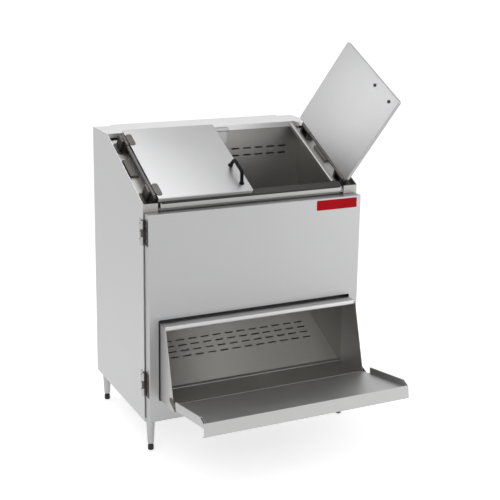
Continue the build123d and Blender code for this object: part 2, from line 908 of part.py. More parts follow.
header_front = front - mouth_top_reach + header_setback
header_top = mouth_top_height + 4
hood_back_height = cut_top - header_tall / 2
hood_points = [
    (liner_face, hood_back_height),
    (header_front + header_depth / 2, header_top),
    (header_front + header_depth / 2, header_top - sheet),
    (liner_face, hood_back_height - sheet),
]
with BuildPart() as mouth_header:
    header_plane = Plane.YZ.offset(-throat_half_width)
    with BuildSketch(header_plane) as header_section:
        with Locations((header_front + header_depth / 2, header_top - header_tall / 2)):
            RectangleRounded(header_depth, header_tall, header_round)
    extrude(amount=2 * throat_half_width)
    extrude(outline(header_plane, hood_points), amount=2 * throat_half_width)
write("mouth_header", mouth_header.part)

sill_points = [
    (liner_face - seat, sill_back_height),
    (front - sill_reach, sill_front_height),
    (front - sill_reach - 3, sill_front_height + sill_lip),
]
with BuildPart() as mouth_sill:
    extrude(
        folded(Plane.YZ.offset(-throat_half_width), sill_points, side=Side.LEFT),
        amount=2 * throat_half_width,
    )
write("mouth_sill", mouth_sill.part)

# Tray pivot: the one line from which the tray lies at its serving tilt and, swung up, closes on the cheeks.
slant = atan2(mouth_low_reach - mouth_top_reach, mouth_top_height - mouth_low_height)
tilt = radians(tray_tilt)
closed_out = (cos(slant), sin(slant))
open_out = (sin(tilt), -cos(tilt))
closed_sum = (
    closed_out[0] * mouth_low_reach
    + closed_out[1] * mouth_low_height
    + tray_lip
    + tray_clearance
    + tray_pivot_drop
)
open_sum = open_out[0] * tray_surface_reach + open_out[1] * tray_surface_height + tray_pivot_drop
cross = closed_out[0] * open_out[1] - closed_out[1] * open_out[0]
pivot_reach = (closed_sum * open_out[1] - open_sum * closed_out[1]) / cross
pivot_height = (closed_out[0] * open_sum - open_out[0] * closed_sum) / cross
pivot_y = front - pivot_reach
tray_swing = 90 + degrees(slant) - tray_tilt


def tray_side(x):
    """Side view of the tray at x: origin at the pivot, local X forward along it, local Y up from it."""
    return Plane(origin=(x, pivot_y, pivot_height), x_dir=(0, -cos(tilt), sin(tilt)), z_dir=(-1, 0, 0))


def tray_section(along):
    """Section across the tray, facing forward: local X to the right, local Y up from the surface."""
    start = (0, pivot_y - along * cos(tilt), pivot_height + along * sin(tilt))
    return Plane(origin=start, x_dir=(1, 0, 0), z_dir=(0, -cos(tilt), sin(tilt)))


# Tray pan: rolled round the hinge rod at the back, hemmed walls at the sides and a deep apron in front.
surface = tray_pivot_drop
barrel_outer = tray_rod_radius + sheet
apron_face = tray_length + sheet
apron_top = surface + tray_lip
with BuildPart() as tray_pan:
    rear_plane = tray_side(tray_barrel_half_width)
    with BuildSketch(rear_plane) as barrel:
        Circle(barrel_outer)
        with Locations((-barrel_outer + sheet / 2, surface / 2)):
            Rectangle(sheet, surface)
        Circle(tray_rod_radius, mode=Mode.SUBTRACT)
    extrude(amount=2 * tray_barrel_half_width)
    rear_deck = [
        (-barrel_outer, surface - sheet),
        (-barrel_outer, surface),
        (tray_wall_start, surface),
        (tray_wall_start, surface - sheet),
    ]
    extrude(outline(rear_plane, rear_deck), amount=2 * tray_barrel_half_width)
    wide_plane = tray_side(tray_half_width)
    main_deck = [
        (tray_wall_start, surface - sheet),
        (tray_wall_start, surface),
        (tray_length, surface),
        (tray_length, surface - sheet),
    ]
    extrude(outline(wide_plane, main_deck), amount=2 * tray_half_width)
    apron_points = [
        (apron_face - tray_apron_return, apron_top - tray_apron),
        (apron_face, apron_top - tray_apron),
        (apron_face, apron_top),
        (apron_face - 2 * bend_radius - 1, apron_top),
        (apron_face - 2 * bend_radius - 1, surface - sheet),
    ]
    extrude(folded(wide_plane, apron_points), amount=2 * tray_half_width)
    wall_top = surface + tray_wall_height
    for side in (1, -1):
        wall_points = [
            (side * tray_half_width, surface - tray_skirt),
            (side * tray_half_width, wall_top),
            (side * (tray_half_width - tray_hem), wall_top),
            (side * (tray_half_width - tray_hem), surface - sheet),
        ]
        thickness_side = Side.LEFT if side == 1 else Side.RIGHT
        extrude(
            folded(tray_section(tray_wall_start), wall_points, side=thickness_side),
            amount=tray_length - tray_wall_start,
        )
    nose_points = [
        (tray_wall_end, wall_top + 1),
        (tray_wall_end, wall_top),
        (tray_length - bend_radius, apron_top),
        (apron_face + 1, apron_top),
        (apron_face + 1, wall_top + 1),
    ]
    extrude(outline(tray_side(tray_half_width + 1), nose_points), amount=2 * tray_half_width + 2, mode=Mode.SUBTRACT)
write("tray_pan", tray_pan.part)

with BuildPart() as tray_rod:
    with BuildSketch(tray_side(tray_barrel_half_width)):
        Circle(tray_rod_radius)
    extrude(amount=2 * tray_barrel_half_width)
    pin_end = cheek_outer + tray_bracket_thickness + 3
    with BuildSketch(tray_side(pin_end)):
        Circle(tray_pin_radius)
    extrude(amount=2 * pin_end)
write("tray_hinge_rod", tray_rod.part)

hat_points = [
    (stiffener_place - stiffener_width / 2 - 12, surface - sheet),
    (stiffener_place - stiffener_width / 2, surface - sheet),
    (stiffener_place - stiffener_width / 2 + 8, surface - sheet - stiffener_depth),
    (stiffener_place + stiffener_width / 2 - 8, surface - sheet - stiffener_depth),
    (stiffener_place + stiffener_width / 2, surface - sheet),
    (stiffener_place + stiffener_width / 2 + 12, surface - sheet),
]
stiffener_half = tray_half_width - tray_hem - 10
with BuildPart() as tray_stiffener:
    extrude(folded(tray_side(stiffener_half), hat_points, side=Side.RIGHT), amount=2 * stiffener_half)
write("tray_stiffener", tray_stiffener.part)

# Pivot brackets outside the cheeks.
bracket_tail = (front - mouth_low_reach + 16, mouth_low_height - 5)
with BuildPart() as tray_brackets:
    for x in (cheek_outer, -cheek_outer - tray_bracket_thickness):
        with BuildSketch(Plane.YZ.offset(x)):
            middle = ((pivot_y + bracket_tail[0]) / 2, (pivot_height + bracket_tail[1]) / 2)
            SlotCenterPoint(middle, (pivot_y, pivot_height), 2 * tray_bracket_radius)
            with Locations((pivot_y, pivot_height)):
                Circle(tray_pin_radius + running_gap, mode=Mode.SUBTRACT)
        extrude(amount=tray_bracket_thickness)
write("tray_pivot_brackets", tray_brackets.part)

# Door hinges: butt hinges whose knuckles stand off the cabinet's front corner.
hinge_x = -half_width - door_hinge_out
hinge_y = front - door_hinge_out
third = door_hinge_length / 3


def door_knuckle(low, high, bore):
    """A length of knuckle round the door's hinge line."""
    with BuildSketch(Plane.XY.offset(low)) as ring:
        with Locations((hinge_x, hinge_y)):
            Circle(door_knuckle_radius)
            Circle(bore, mode=Mode.SUBTRACT)
    extrude(ring.sketch, amount=high - low)


def clear_bore(low, high, bore):
    """Open the pin hole again where a leaf has crossed it."""
    with BuildSketch(Plane.XY.offset(low)) as hole:
        with Locations((hinge_x, hinge_y)):
            Circle(bore)
    extrude(hole.sketch, amount=high - low, mode=Mode.SUBTRACT)


with BuildPart() as door_fixed_leaves:
    for height in door_hinge_heights:
        low = height - door_hinge_length / 2
        leaf_front = front + door_leaf
        block(
            (-half_width - door_leaf, leaf_front, low),
            (-half_width, front + door_fixed_leaf_width, low + door_hinge_length),
        )
        for start in (low, low + 2 * third):
            block((-half_width - door_leaf, front, start), (-half_width, leaf_front, start + third))
            door_knuckle(start, start + third, door_pin_radius)
            clear_bore(start, start + third, door_pin_radius)
write("door_hinge_fixed_leaves", door_fixed_leaves.part)

with BuildPart() as door_moving_leaves:
    for height in door_hinge_heights:
        low = height - door_hinge_length / 2
        start = low + third + knuckle_gap
        length = third - 2 * knuckle_gap
        leaf_back = hinge_y - door_knuckle_radius + door_leaf
        block(
            (-door_half_width - door_leaf, leaf_back - door_moving_leaf_width, low),
            (-door_half_width, leaf_back - door_leaf, low + door_hinge_length),
        )
        block(
            (hinge_x, leaf_back - door_leaf, start),
            (-door_half_width, leaf_back, start + length),
        )
        door_knuckle(start, start + length, door_pin_radius + running_gap)
        clear_bore(start, start + length, door_pin_radius + running_gap)
write("door_hinge_moving_leaves", door_moving_leaves.part)

with BuildPart() as door_pins:
    for height in door_hinge_heights:
        pin_low = height - door_hinge_length / 2
        with BuildSketch(Plane.XY.offset(pin_low)):
            with Locations((hinge_x, hinge_y)):
                Circle(door_pin_radius)
        extrude(amount=door_hinge_length)
        with BuildSketch(Plane.XY.offset(pin_low + door_hinge_length)):
            with Locations((hinge_x, hinge_y)):
                Circle(door_knuckle_radius - 1)
        extrude(amount=2, taper=20)
write("door_hinge_pins", door_pins.part)

# Latch on the right-hand side: a hooked arm hangs on the cabinet and swings up under a stud on the door.
latch_height = door_top - latch_drop
latch_y = front + latch_pivot_back
keeper_y = latch_y - latch_arm_length
latch_x = half_width + latch_plate
with BuildPart() as latch_base:
    block(
        (half_width, latch_y - 11, latch_height - 15),
        (latch_x, latch_y + 11, latch_height + 15),
    )
    with BuildSketch(Plane.YZ.offset(latch_x)):
        with Locations((latch_y, latch_height)):
            Circle(latch_pin_radius)
    extrude(amount=latch_arm_thickness + 2 * seat)
    with BuildSketch(Plane.YZ.offset(latch_x + latch_arm_thickness + 2 * seat)):
        with Locations((latch_y, latch_height)):
            Circle(latch_pin_radius + 2)
    extrude(amount=1.5)
write("latch_base", latch_base.part)

with BuildPart() as latch_arm:
    arm_x = latch_x + seat
    notch_z = latch_height - latch_arm_length
    with BuildSketch(Plane.YZ.offset(arm_x)):
        middle = (latch_y, (latch_height + notch_z) / 2)
        SlotCenterPoint(middle, (latch_y, latch_height), latch_arm_width)
        with Locations((latch_y, latch_height)):
            Circle(latch_pin_radius + running_gap, mode=Mode.SUBTRACT)
        notch_half = keeper_radius + keeper_play
        with Locations((latch_y + notch_half - latch_arm_width / 2, notch_z)):
            Rectangle(latch_arm_width, 2 * notch_half, mode=Mode.SUBTRACT)
    extrude(amount=latch_arm_thickness)
    arm_end = notch_z - latch_arm_width / 2
    block(
        (arm_x, latch_y - thumb_tab_half, arm_end - thumb_tab),
        (arm_x + latch_arm_thickness, latch_y + thumb_tab_half, arm_end + 2),
    )
    block(
        (arm_x, latch_y - thumb_tab_half, arm_end - thumb_tab),
        (arm_x + thumb_tab, latch_y + thumb_tab_half, arm_end - thumb_tab + latch_arm_thickness),
    )
write("latch_arm", latch_arm.part)

with BuildPart() as latch_keeper:
    stud_end = arm_x + latch_arm_thickness + seat
    with BuildSketch(Plane.YZ.offset(door_half_width)):
        with Locations((keeper_y, latch_height)):
            Circle(keeper_radius + keeper_collar)
    extrude(amount=half_width - door_half_width)
    with BuildSketch(Plane.YZ.offset(half_width)):
        with Locations((keeper_y, latch_height)):
            Circle(keeper_radius)
    extrude(amount=stud_end - half_width)
write("latch_keeper", latch_keeper.part)

# Legs: tapered tubes on square plates under the base, each with a screwed levelling foot.
leg_x = half_width - leg_inset
leg_y = -front - leg_front_inset
leg_bottom = foot_height + foot_travel * 0.2
leg_places = {
    "front_left": (-leg_x, -leg_y),
    "front_right": (leg_x, -leg_y),
    "rear_left": (-leg_x, leg_y),
    "rear_right": (leg_x, leg_y),
}
plate_half = leg_plate_size / 2
with BuildPart() as legs:
    for x, y in leg_places.values():
        plate_x = min(plate_half, leg_inset - 1)
        plate_y = min(plate_half, leg_front_inset - 1)
        block(
            (x - plate_x, y - plate_y, leg_height - leg_plate_thickness),
            (x + plate_x, y + plate_y, leg_height),
        )
        with BuildSketch(Plane.XY.offset(leg_height - leg_plate_thickness)):
            with Locations((x, y)):
                Circle(leg_top_radius)
        with BuildSketch(Plane.XY.offset(leg_bottom)):
            with Locations((x, y)):
                Circle(leg_bottom_radius)
        loft()
        with BuildSketch(Plane.XY.offset(leg_bottom)):
            with Locations((x, y)):
                Circle(stem_radius + running_gap)
        extrude(amount=stem_length + 2, mode=Mode.SUBTRACT)
write("legs", legs.part)

foot_neck = 4.0
for place, (x, y) in leg_places.items():
    with BuildPart() as foot:
        with BuildSketch(Plane.XY):
            with Locations((x, y)):
                Circle(foot_radius)
        extrude(amount=foot_height - foot_neck)
        chamfer(foot.edges().filter_by(GeomType.CIRCLE).sort_by(Axis.Z)[0], 1.5)
        with BuildSketch(Plane.XY.offset(foot_height - foot_neck)):
            with Locations((x, y)):
                RegularPolygon(foot_radius - 1.5, 6)
        extrude(amount=leg_bottom - foot_height + foot_neck)
        with BuildSketch(Plane.XY.offset(leg_bottom)):
            with Locations((x, y)):
                Circle(stem_radius)
        extrude(amount=stem_length)
    write(f"{place}_foot", foot.part)

# Blower: a squirrel-cage wheel in a scroll housing, driven by a motor on the same axis.
wheel_axis = Plane(origin=(0, blower_y, blower_z), x_dir=(0, 1, 0), z_dir=(1, 0, 0))
with BuildPart() as blower_wheel:
    rim = 3.0
    for start in (-wheel_width / 2, wheel_width / 2 - rim):
        with BuildSketch(wheel_axis.offset(start)):
            Circle(wheel_radius)
            Circle(wheel_radius - blade_depth, mode=Mode.SUBTRACT)
        extrude(amount=rim)
    with BuildSketch(wheel_axis.offset(-wheel_width / 2)):
        with PolarLocations(wheel_radius - blade_depth / 2, wheel_blades):
            Rectangle(blade_depth - 1, blade_sheet, rotation=28)
    extrude(amount=wheel_width)
    with BuildSketch(wheel_axis.offset(-rim / 2)):
        Circle(wheel_radius - 2)
        Circle(shaft_radius, mode=Mode.SUBTRACT)
    extrude(amount=rim)
    with BuildSketch(wheel_axis.offset(-wheel_width / 4)):
        Circle(wheel_hub_radius)
        Circle(shaft_radius, mode=Mode.SUBTRACT)
    extrude(amount=wheel_width / 2)
    with BuildSketch(wheel_axis.offset(-wheel_width / 4)):
        Circle(shaft_radius)
    extrude(amount=wheel_width / 4 + housing_half + housing_wall)
write("blower_wheel", blower_wheel.part)

with BuildPart() as blower_housing:
    outlet_length = scroll_outer + outlet_reach
    with BuildSketch(wheel_axis.offset(-outlet_half_width)):
        Circle(scroll_outer)
        with Locations((-outlet_length / 2, -scroll_outer + (outlet_top - outlet_bottom) / 2)):
            Rectangle(outlet_length, outlet_top - outlet_bottom)
    extrude(amount=2 * outlet_half_width)
    with BuildSketch(wheel_axis.offset(-housing_half)):
        Circle(scroll_radius)
        with Locations((-outlet_length / 2 - housing_wall, -scroll_radius + outlet_height / 2)):
            Rectangle(outlet_length, outlet_height)
    extrude(amount=2 * housing_half, mode=Mode.SUBTRACT)
    with BuildSketch(wheel_axis.offset(-housing_half - housing_wall)):
        Circle(wheel_radius - blade_depth)
    extrude(amount=housing_wall, mode=Mode.SUBTRACT)
    with BuildSketch(wheel_axis.offset(housing_half)):
        Circle(shaft_radius + running_gap)
    extrude(amount=housing_wall, mode=Mode.SUBTRACT)
    for x in (-outlet_half_width, housing_half):
        block((x, blower_y - 30, pan_floor), (x + housing_wall, blower_y + 30, outlet_bottom + 8))
write("blower_housing", blower_housing.part)

with BuildPart() as blower_motor:
    motor_start = housing_half + housing_wall
    with BuildSketch(wheel_axis.offset(motor_start)):
        Circle(motor_radius)
        Circle(shaft_radius + running_gap, mode=Mode.SUBTRACT)
    extrude(amount=motor_length)
    fin_count = 3
    for fin in range(fin_count):
        with BuildSketch(wheel_axis.offset(motor_start + (fin + 1) * motor_length / (fin_count + 1))):
            Circle(motor_radius + 4)
            Circle(motor_radius, mode=Mode.SUBTRACT)
        extrude(amount=2)
    foot_width = 44.0
    block(
        (motor_start + 20, blower_y - foot_width / 2, pan_floor),
        (motor_start + motor_length - 10, blower_y + foot_width / 2, blower_z - motor_radius + 6),
    )
write("blower_motor", blower_motor.part)

# Heater: a serpentine tube across the air path in front of the blower outlet, held in two notched brackets.
heater_y = blower_y - scroll_radius - outlet_reach - heater_before_outlet
heater_z = blower_z - scroll_radius + outlet_height / 2
heater_points = []
for heater_pass in range(heater_passes):
    y = heater_y + heater_pass * heater_pass_pitch
    ends = (-heater_half_span, heater_half_span)
    for x in ends if heater_pass % 2 == 0 else reversed(ends):
        heater_points.append((x, y))
with BuildPart() as heater_element:
    with BuildLine(Plane.XY.offset(heater_z)) as heater_path:
        FilletPolyline(*heater_points, radius=heater_pass_pitch / 2 - 1)
    with BuildSketch(Plane(origin=(-heater_half_span, heater_y, heater_z), x_dir=(0, 1, 0), z_dir=(1, 0, 0))):
        Circle(heater_radius)
    sweep(path=heater_path.line)
write("heater_element", heater_element.part)

bracket_half = heater_half_span - 60
bracket_end = heater_y + (heater_passes - 1) * heater_pass_pitch
with BuildPart() as heater_brackets:
    for x in (-bracket_half, bracket_half):
        block((x - 1, heater_y - 14, pan_floor), (x + 1, bracket_end + 14, heater_z + 14))
        block((x - 14, heater_y - 14, pan_floor), (x + 14, bracket_end + 14, pan_floor + 2))
        with BuildSketch(Plane.YZ.offset(x - 1)):
            for heater_pass in range(heater_passes):
                with Locations((heater_y + heater_pass * heater_pass_pitch, heater_z)):
                    Circle(heater_radius)
        extrude(amount=2, mode=Mode.SUBTRACT)
write("heater_brackets", heater_brackets.part)

# Controls on the rear panel: thermostat with its knob, rocker switch and cable gland.
thermostat_depth = 34.0
with BuildPart() as thermostat:
    block(
        (control_x - 22, back - sheet - thermostat_depth, control_z - 18),
        (control_x + 22, back - sheet, control_z + 18),
    )
    with BuildSketch(Plane.XZ.offset(-back + sheet)):
        with Locations((control_x, control_z)):
            Circle(shaft_radius)
    extrude(amount=-(sheet + seat + knob_height / 2))
write("thermostat", thermostat.part)

with BuildPart() as knob:
    with BuildSketch(Plane.XZ.offset(-back - seat)):
        with Locations((control_x, control_z)):
            Circle(knob_radius)
    extrude(amount=-knob_height, taper=6)
    chamfer(knob.faces().sort_by(Axis.Y)[-1].edges(), 1.5)
    grip_top = back + seat + knob_height
    block(
        (control_x - 3, grip_top - 1, control_z - knob_radius + 5),
        (control_x + 3, grip_top + 5, control_z + knob_radius - 5),
    )
    with BuildSketch(Plane.XZ.offset(-back - seat)):
        with Locations((control_x, control_z)):
            Circle(shaft_radius + running_gap)
    extrude(amount=-knob_height / 2 - seat, mode=Mode.SUBTRACT)
write("thermostat_knob", knob.part)

rocker_frame = 3.0
rocker_depth = 24.0
frame_proud = 2.0
with BuildPart() as switch_housing:
    width, tall = rocker_size
    block(
        (rocker_x - width / 2, back - sheet - rocker_depth, control_z - tall / 2),
        (rocker_x + width / 2, back + frame_proud, control_z + tall / 2),
    )
    block(
        (rocker_x - width / 2 - rocker_frame, back, control_z - tall / 2 - rocker_frame),
        (rocker_x + width / 2 + rocker_frame, back + frame_proud, control_z + tall / 2 + rocker_frame),
    )
    block(
        (rocker_x - width / 2 + 2, back - 14, control_z - tall / 2 + 2),
        (rocker_x + width / 2 - 2, back + frame_proud, control_z + tall / 2 - 2),
        mode=Mode.SUBTRACT,
    )
    with BuildSketch(Plane.YZ.offset(rocker_x - width / 2)):
        with Locations((back - 5, control_z)):
            Circle(2)
    extrude(amount=width)
write("switch_housing", switch_housing.part)

rocker_half_tall = rocker_size[1] / 2 - 4.2
rocker_half_width = rocker_size[0] / 2 - 2 - seat
rocker_pivot_y = back - 5
swing = radians(rocker_swing / 2)


def rocker_point(y, z):
    """A point of the rocker's side view, tipped to the off position."""
    turned_y = y * cos(swing) - z * sin(swing)
    turned_z = y * sin(swing) + z * cos(swing)
    return (rocker_pivot_y + turned_y, control_z + turned_z)


with BuildPart() as rocker:
    rocker_points = [
        rocker_point(-5, -5),
        rocker_point(5, -rocker_half_tall),
        rocker_point(9, -rocker_half_tall),
        rocker_point(7, 0),
        rocker_point(9, rocker_half_tall),
        rocker_point(5, rocker_half_tall),
        rocker_point(-5, 5),
    ]
    extrude(
        outline(Plane.YZ.offset(rocker_x - rocker_half_width), rocker_points),
        amount=2 * rocker_half_width,
    )
    with BuildSketch(Plane.YZ.offset(rocker_x - rocker_half_width)):
        with Locations((rocker_pivot_y, control_z)):
            Circle(2 + running_gap)
    extrude(amount=2 * rocker_half_width, mode=Mode.SUBTRACT)
write("switch_rocker", rocker.part)

gland_bore = 5.0
gland_nut = 6.0
gland_cap = 12.0
gland_inside = 14.0
with BuildPart() as cable_gland:
    with BuildSketch(Plane.XZ.offset(-back)):
        with Locations((gland_x, gland_z)):
            RegularPolygon(gland_radius + 4, 6)
    extrude(amount=-gland_nut)
    with BuildSketch(Plane.XZ.offset(-back - gland_nut)):
        with Locations((gland_x, gland_z)):
            Circle(gland_radius)
    extrude(amount=-gland_cap, taper=6)
    with BuildSketch(Plane.XZ.offset(-back)):
        with Locations((gland_x, gland_z)):
            Circle(gland_radius)
    extrude(amount=gland_inside)
    with BuildSketch(Plane.XZ.offset(-back + gland_inside)):
        with Locations((gland_x, gland_z)):
            Circle(gland_bore)
    extrude(amount=-(gland_inside + gland_nut + gland_cap), mode=Mode.SUBTRACT)
write("cable_gland", cable_gland.part)

print(f"tray pivot at y {pivot_y:.2f}, z {pivot_height:.2f}, swing {tray_swing:.2f}")
print(f"lid axis point {right_lid_axis.position}, direction {right_lid_axis.direction}")
print(f"door hinge at x {hinge_x:.2f}, y {hinge_y:.2f}")
print(f"blower axis at y {blower_y:.2f}, z {blower_z:.2f}")
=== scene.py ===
import json
import math

import bmesh
import bpy
from mathutils import Matrix, Vector


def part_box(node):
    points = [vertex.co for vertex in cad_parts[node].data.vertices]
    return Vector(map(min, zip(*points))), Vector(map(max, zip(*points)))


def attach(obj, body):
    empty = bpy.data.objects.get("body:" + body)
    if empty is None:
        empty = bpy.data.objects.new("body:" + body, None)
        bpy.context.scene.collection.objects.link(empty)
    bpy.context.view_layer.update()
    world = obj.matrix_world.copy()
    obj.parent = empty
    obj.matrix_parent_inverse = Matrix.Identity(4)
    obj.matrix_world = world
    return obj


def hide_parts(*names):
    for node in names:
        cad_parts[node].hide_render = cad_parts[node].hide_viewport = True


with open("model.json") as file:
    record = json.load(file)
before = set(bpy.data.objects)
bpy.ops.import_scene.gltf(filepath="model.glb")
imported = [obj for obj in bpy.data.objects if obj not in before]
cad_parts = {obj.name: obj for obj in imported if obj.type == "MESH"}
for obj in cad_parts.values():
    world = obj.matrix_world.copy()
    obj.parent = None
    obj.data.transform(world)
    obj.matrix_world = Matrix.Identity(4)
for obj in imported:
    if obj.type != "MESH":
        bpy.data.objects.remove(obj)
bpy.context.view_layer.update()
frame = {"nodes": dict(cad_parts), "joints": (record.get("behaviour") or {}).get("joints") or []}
nodes = frame["nodes"]
joints = {joint["name"]: joint for joint in frame["joints"]}

# Everything is in metres. X runs to the right as seen from the front, Y to the back, Z up.
MM = 0.001
LEFT, FRONT, BACK, UP = (-1, 0, 0), (0, -1, 0), (0, 1, 0), (0, 0, 1)

# ---------------------------------------------------------------- material building blocks


def node_material(name):
    """A new material with a Principled shader joined to its output."""
    material = bpy.data.materials.new(name)
    material.use_nodes = True
    tree = material.node_tree
    tree.nodes.clear()
    output = tree.nodes.new("ShaderNodeOutputMaterial")
    shader = tree.nodes.new("ShaderNodeBsdfPrincipled")
    tree.links.new(shader.outputs["BSDF"], output.inputs["Surface"])
    return material, tree, shader


def noise(tree, stretch, scale, detail=2.0):
    """A noise in object space, stretched along the axes given."""
    place = tree.nodes.new("ShaderNodeTexCoord")
    mapping = tree.nodes.new("ShaderNodeMapping")
    mapping.inputs["Scale"].default_value = stretch
    texture = tree.nodes.new("ShaderNodeTexNoise")
    texture.inputs["Scale"].default_value = scale
    texture.inputs["Detail"].default_value = detail
    tree.links.new(place.outputs["Object"], mapping.inputs["Vector"])
    tree.links.new(mapping.outputs["Vector"], texture.inputs["Vector"])
    return texture.outputs["Fac"]


def spread(tree, source, low, high, start=0.3, end=0.7):
    """Maps a stretch of the source, by default the middle part of a noise, to a range of values."""
    node = tree.nodes.new("ShaderNodeMapRange")
    node.inputs["From Min"].default_value = start
    node.inputs["From Max"].default_value = end
    node.inputs["To Min"].default_value = low
    node.inputs["To Max"].default_value = high
    tree.links.new(source, node.inputs["Value"])
    return node.outputs["Result"]


def combine(tree, operation, first, second):
    """One number made from two, each of which is a socket or a plain value."""
    node = tree.nodes.new("ShaderNodeMath")
    node.operation = operation
    for socket, value in zip(node.inputs, (first, second)):
        if isinstance(value, (int, float)):
            socket.default_value = value
        else:
            tree.links.new(value, socket)
    return node.outputs["Value"]


def blend_colours(tree, first, second, source):
    """A colour between two, each of which is a socket or a triple, mixed by the source."""
    mix = tree.nodes.new("ShaderNodeMix")
    mix.data_type = "RGBA"
    for socket, colour in ((mix.inputs["A"], first), (mix.inputs["B"], second)):
        if isinstance(colour, tuple):
            socket.default_value = (*[min(1, max(0, c)) for c in colour], 1)
        else:
            tree.links.new(colour, socket)
    tree.links.new(source, mix.inputs["Factor"])
    return mix.outputs["Result"]


def varied(tree, colour, source, amount):
    """The colour made a little darker and lighter by a source that runs from 0 to 1."""
    darker = tuple(c * (1 - amount) for c in colour)
    lighter = tuple(c * (1 + amount) for c in colour)
    return blend_colours(tree, darker, lighter, source)


def bump(tree, shader, source, strength, distance, edge):
    """Relief from the source, with edges that look softly rounded over the given radius."""
    relief = tree.nodes.new("ShaderNodeBump")
    relief.inputs["Strength"].default_value = strength
    relief.inputs["Distance"].default_value = distance
    tree.links.new(source, relief.inputs["Height"])
    if edge:
        bevel = tree.nodes.new("ShaderNodeBevel")
        bevel.samples = 4
        bevel.inputs["Radius"].default_value = edge
        tree.links.new(bevel.outputs["Normal"], relief.inputs["Normal"])
    tree.links.new(relief.outputs["Normal"], shader.inputs["Normal"])


# ---------------------------------------------------------------- kinds of finish

EVEN = (1, 1, 1)
FINE_DETAIL = 3.0
CLOUD_SCALE = 3.1
CLOUD_COLOUR = (0.97, 0.97, 0.97)
GRAIN_DEPTH = 0.4 * MM
GRAIN_ROUGHNESS = 0.05
CLOUD_ROUGHNESS = 0.03
TOOTH_DEPTH = 0.6 * MM
TOOTH_ROUGHNESS = 0.04
BUMPER_TOOTH_SCALE = 220
BUMPER_ROUGHNESS = (0.55, 0.68)

def brushed_metal(name, colour, rough, grain, relief=0.10, edge=0.8 * MM, blotch=0.02, streak=0.02):
    """Sheet metal with a straight grain: grain gives how fine it is along each axis."""
    material, tree, shader = node_material(name)
    shader.inputs["Metallic"].default_value = 1.0
    fine = noise(tree, grain, 1.0, FINE_DETAIL)
    broad = noise(tree, EVEN, CLOUD_SCALE)
    streaked = varied(tree, colour, spread(tree, fine, 0, 1), streak)
    clouded = tree.nodes.new("ShaderNodeMix")
    clouded.data_type = "RGBA"
    clouded.blend_type = "MULTIPLY"
    clouded.inputs["Factor"].default_value = 1.0
    tree.links.new(streaked, clouded.inputs["A"])
    cloud = varied(tree, CLOUD_COLOUR, spread(tree, broad, 0, 1), blotch)
    tree.links.new(cloud, clouded.inputs["B"])
    tree.links.new(clouded.outputs["Result"], shader.inputs["Base Color"])
    roughness = combine(
        tree, "ADD",
        spread(tree, fine, rough - GRAIN_ROUGHNESS, rough + GRAIN_ROUGHNESS),
        spread(tree, broad, -CLOUD_ROUGHNESS, CLOUD_ROUGHNESS),
    )
    tree.links.new(roughness, shader.inputs["Roughness"])
    bump(tree, shader, fine, relief, GRAIN_DEPTH, edge)
    return material


def moulded(name, colour, rough, tooth_scale=200, amount=0.12, relief=0.05, edge=0.6 * MM, shine=0.3):
    """Plastic, rubber or paint with a fine tooth."""
    material, tree, shader = node_material(name)
    shader.inputs["Specular IOR Level"].default_value = shine
    tooth = noise(tree, EVEN, tooth_scale, FINE_DETAIL)
    roughness = spread(tree, tooth, rough - TOOTH_ROUGHNESS, rough + TOOTH_ROUGHNESS)
    tree.links.new(varied(tree, colour, spread(tree, tooth, 0, 1), amount), shader.inputs["Base Color"])
    tree.links.new(roughness, shader.inputs["Roughness"])
    bump(tree, shader, tooth, relief, TOOTH_DEPTH, edge)
    return material


def bumper_rubber_painted_shade(name, colour, shade_colour, shade_start):
    """Grey rubber whose outer strip, further from the middle than the start given, is painted black as the
    shade in the gap between the pad and the channel's wall.
    """
    material, tree, shader = node_material(name)
    place = tree.nodes.new("ShaderNodeTexCoord")
    split = tree.nodes.new("ShaderNodeSeparateXYZ")
    tree.links.new(place.outputs["Object"], split.inputs["Vector"])
    outwards = combine(tree, "ABSOLUTE", split.outputs["X"], 0.0)
    strip = combine(tree, "GREATER_THAN", outwards, shade_start)
    tooth = noise(tree, EVEN, BUMPER_TOOTH_SCALE, FINE_DETAIL)
    pad = varied(tree, colour, spread(tree, tooth, 0, 1), 0.10)
    tree.links.new(blend_colours(tree, pad, shade_colour, strip), shader.inputs["Base Color"])
    tree.links.new(spread(tree, tooth, *BUMPER_ROUGHNESS), shader.inputs["Roughness"])
    shader.inputs["Specular IOR Level"].default_value = 0.3
    bump(tree, shader, tooth, strength=0.08, distance=TOOTH_DEPTH, edge=1.0 * MM)
    return material


# How fine the grain is along X, Y and Z: fine across the strokes, and long along them.
UPRIGHT = (900, 900, 6)
ACROSS = (6, 900, 900)
ALONG = (900, 6, 900)
NO_GRAIN = (300, 300, 300)
SPANGLE = (60, 60, 60)
# Where the pads' black strip starts: painted shade beside the channels' outer walls.
PAINTED_SHADE_STRIP_START = 0.4185

side_steel = brushed_metal("side_steel", (0.51, 0.51, 0.515), 0.40, UPRIGHT)
# The door is the same stainless steel as the side panels with a darker base colour: painted shade.
door_steel_painted_shade = brushed_metal("door_steel_painted_shade", (0.43, 0.43, 0.435), 0.40, UPRIGHT)
# The lids are the same steel with a darker base colour: painted shade, leaving the top lamp to light them.
lid_steel_painted_shade = brushed_metal("lid_steel_painted_shade", (0.40, 0.40, 0.405), 0.36, ALONG)
lid_liner_steel = brushed_metal("lid_liner_steel", (0.39, 0.39, 0.395), 0.34, ALONG)
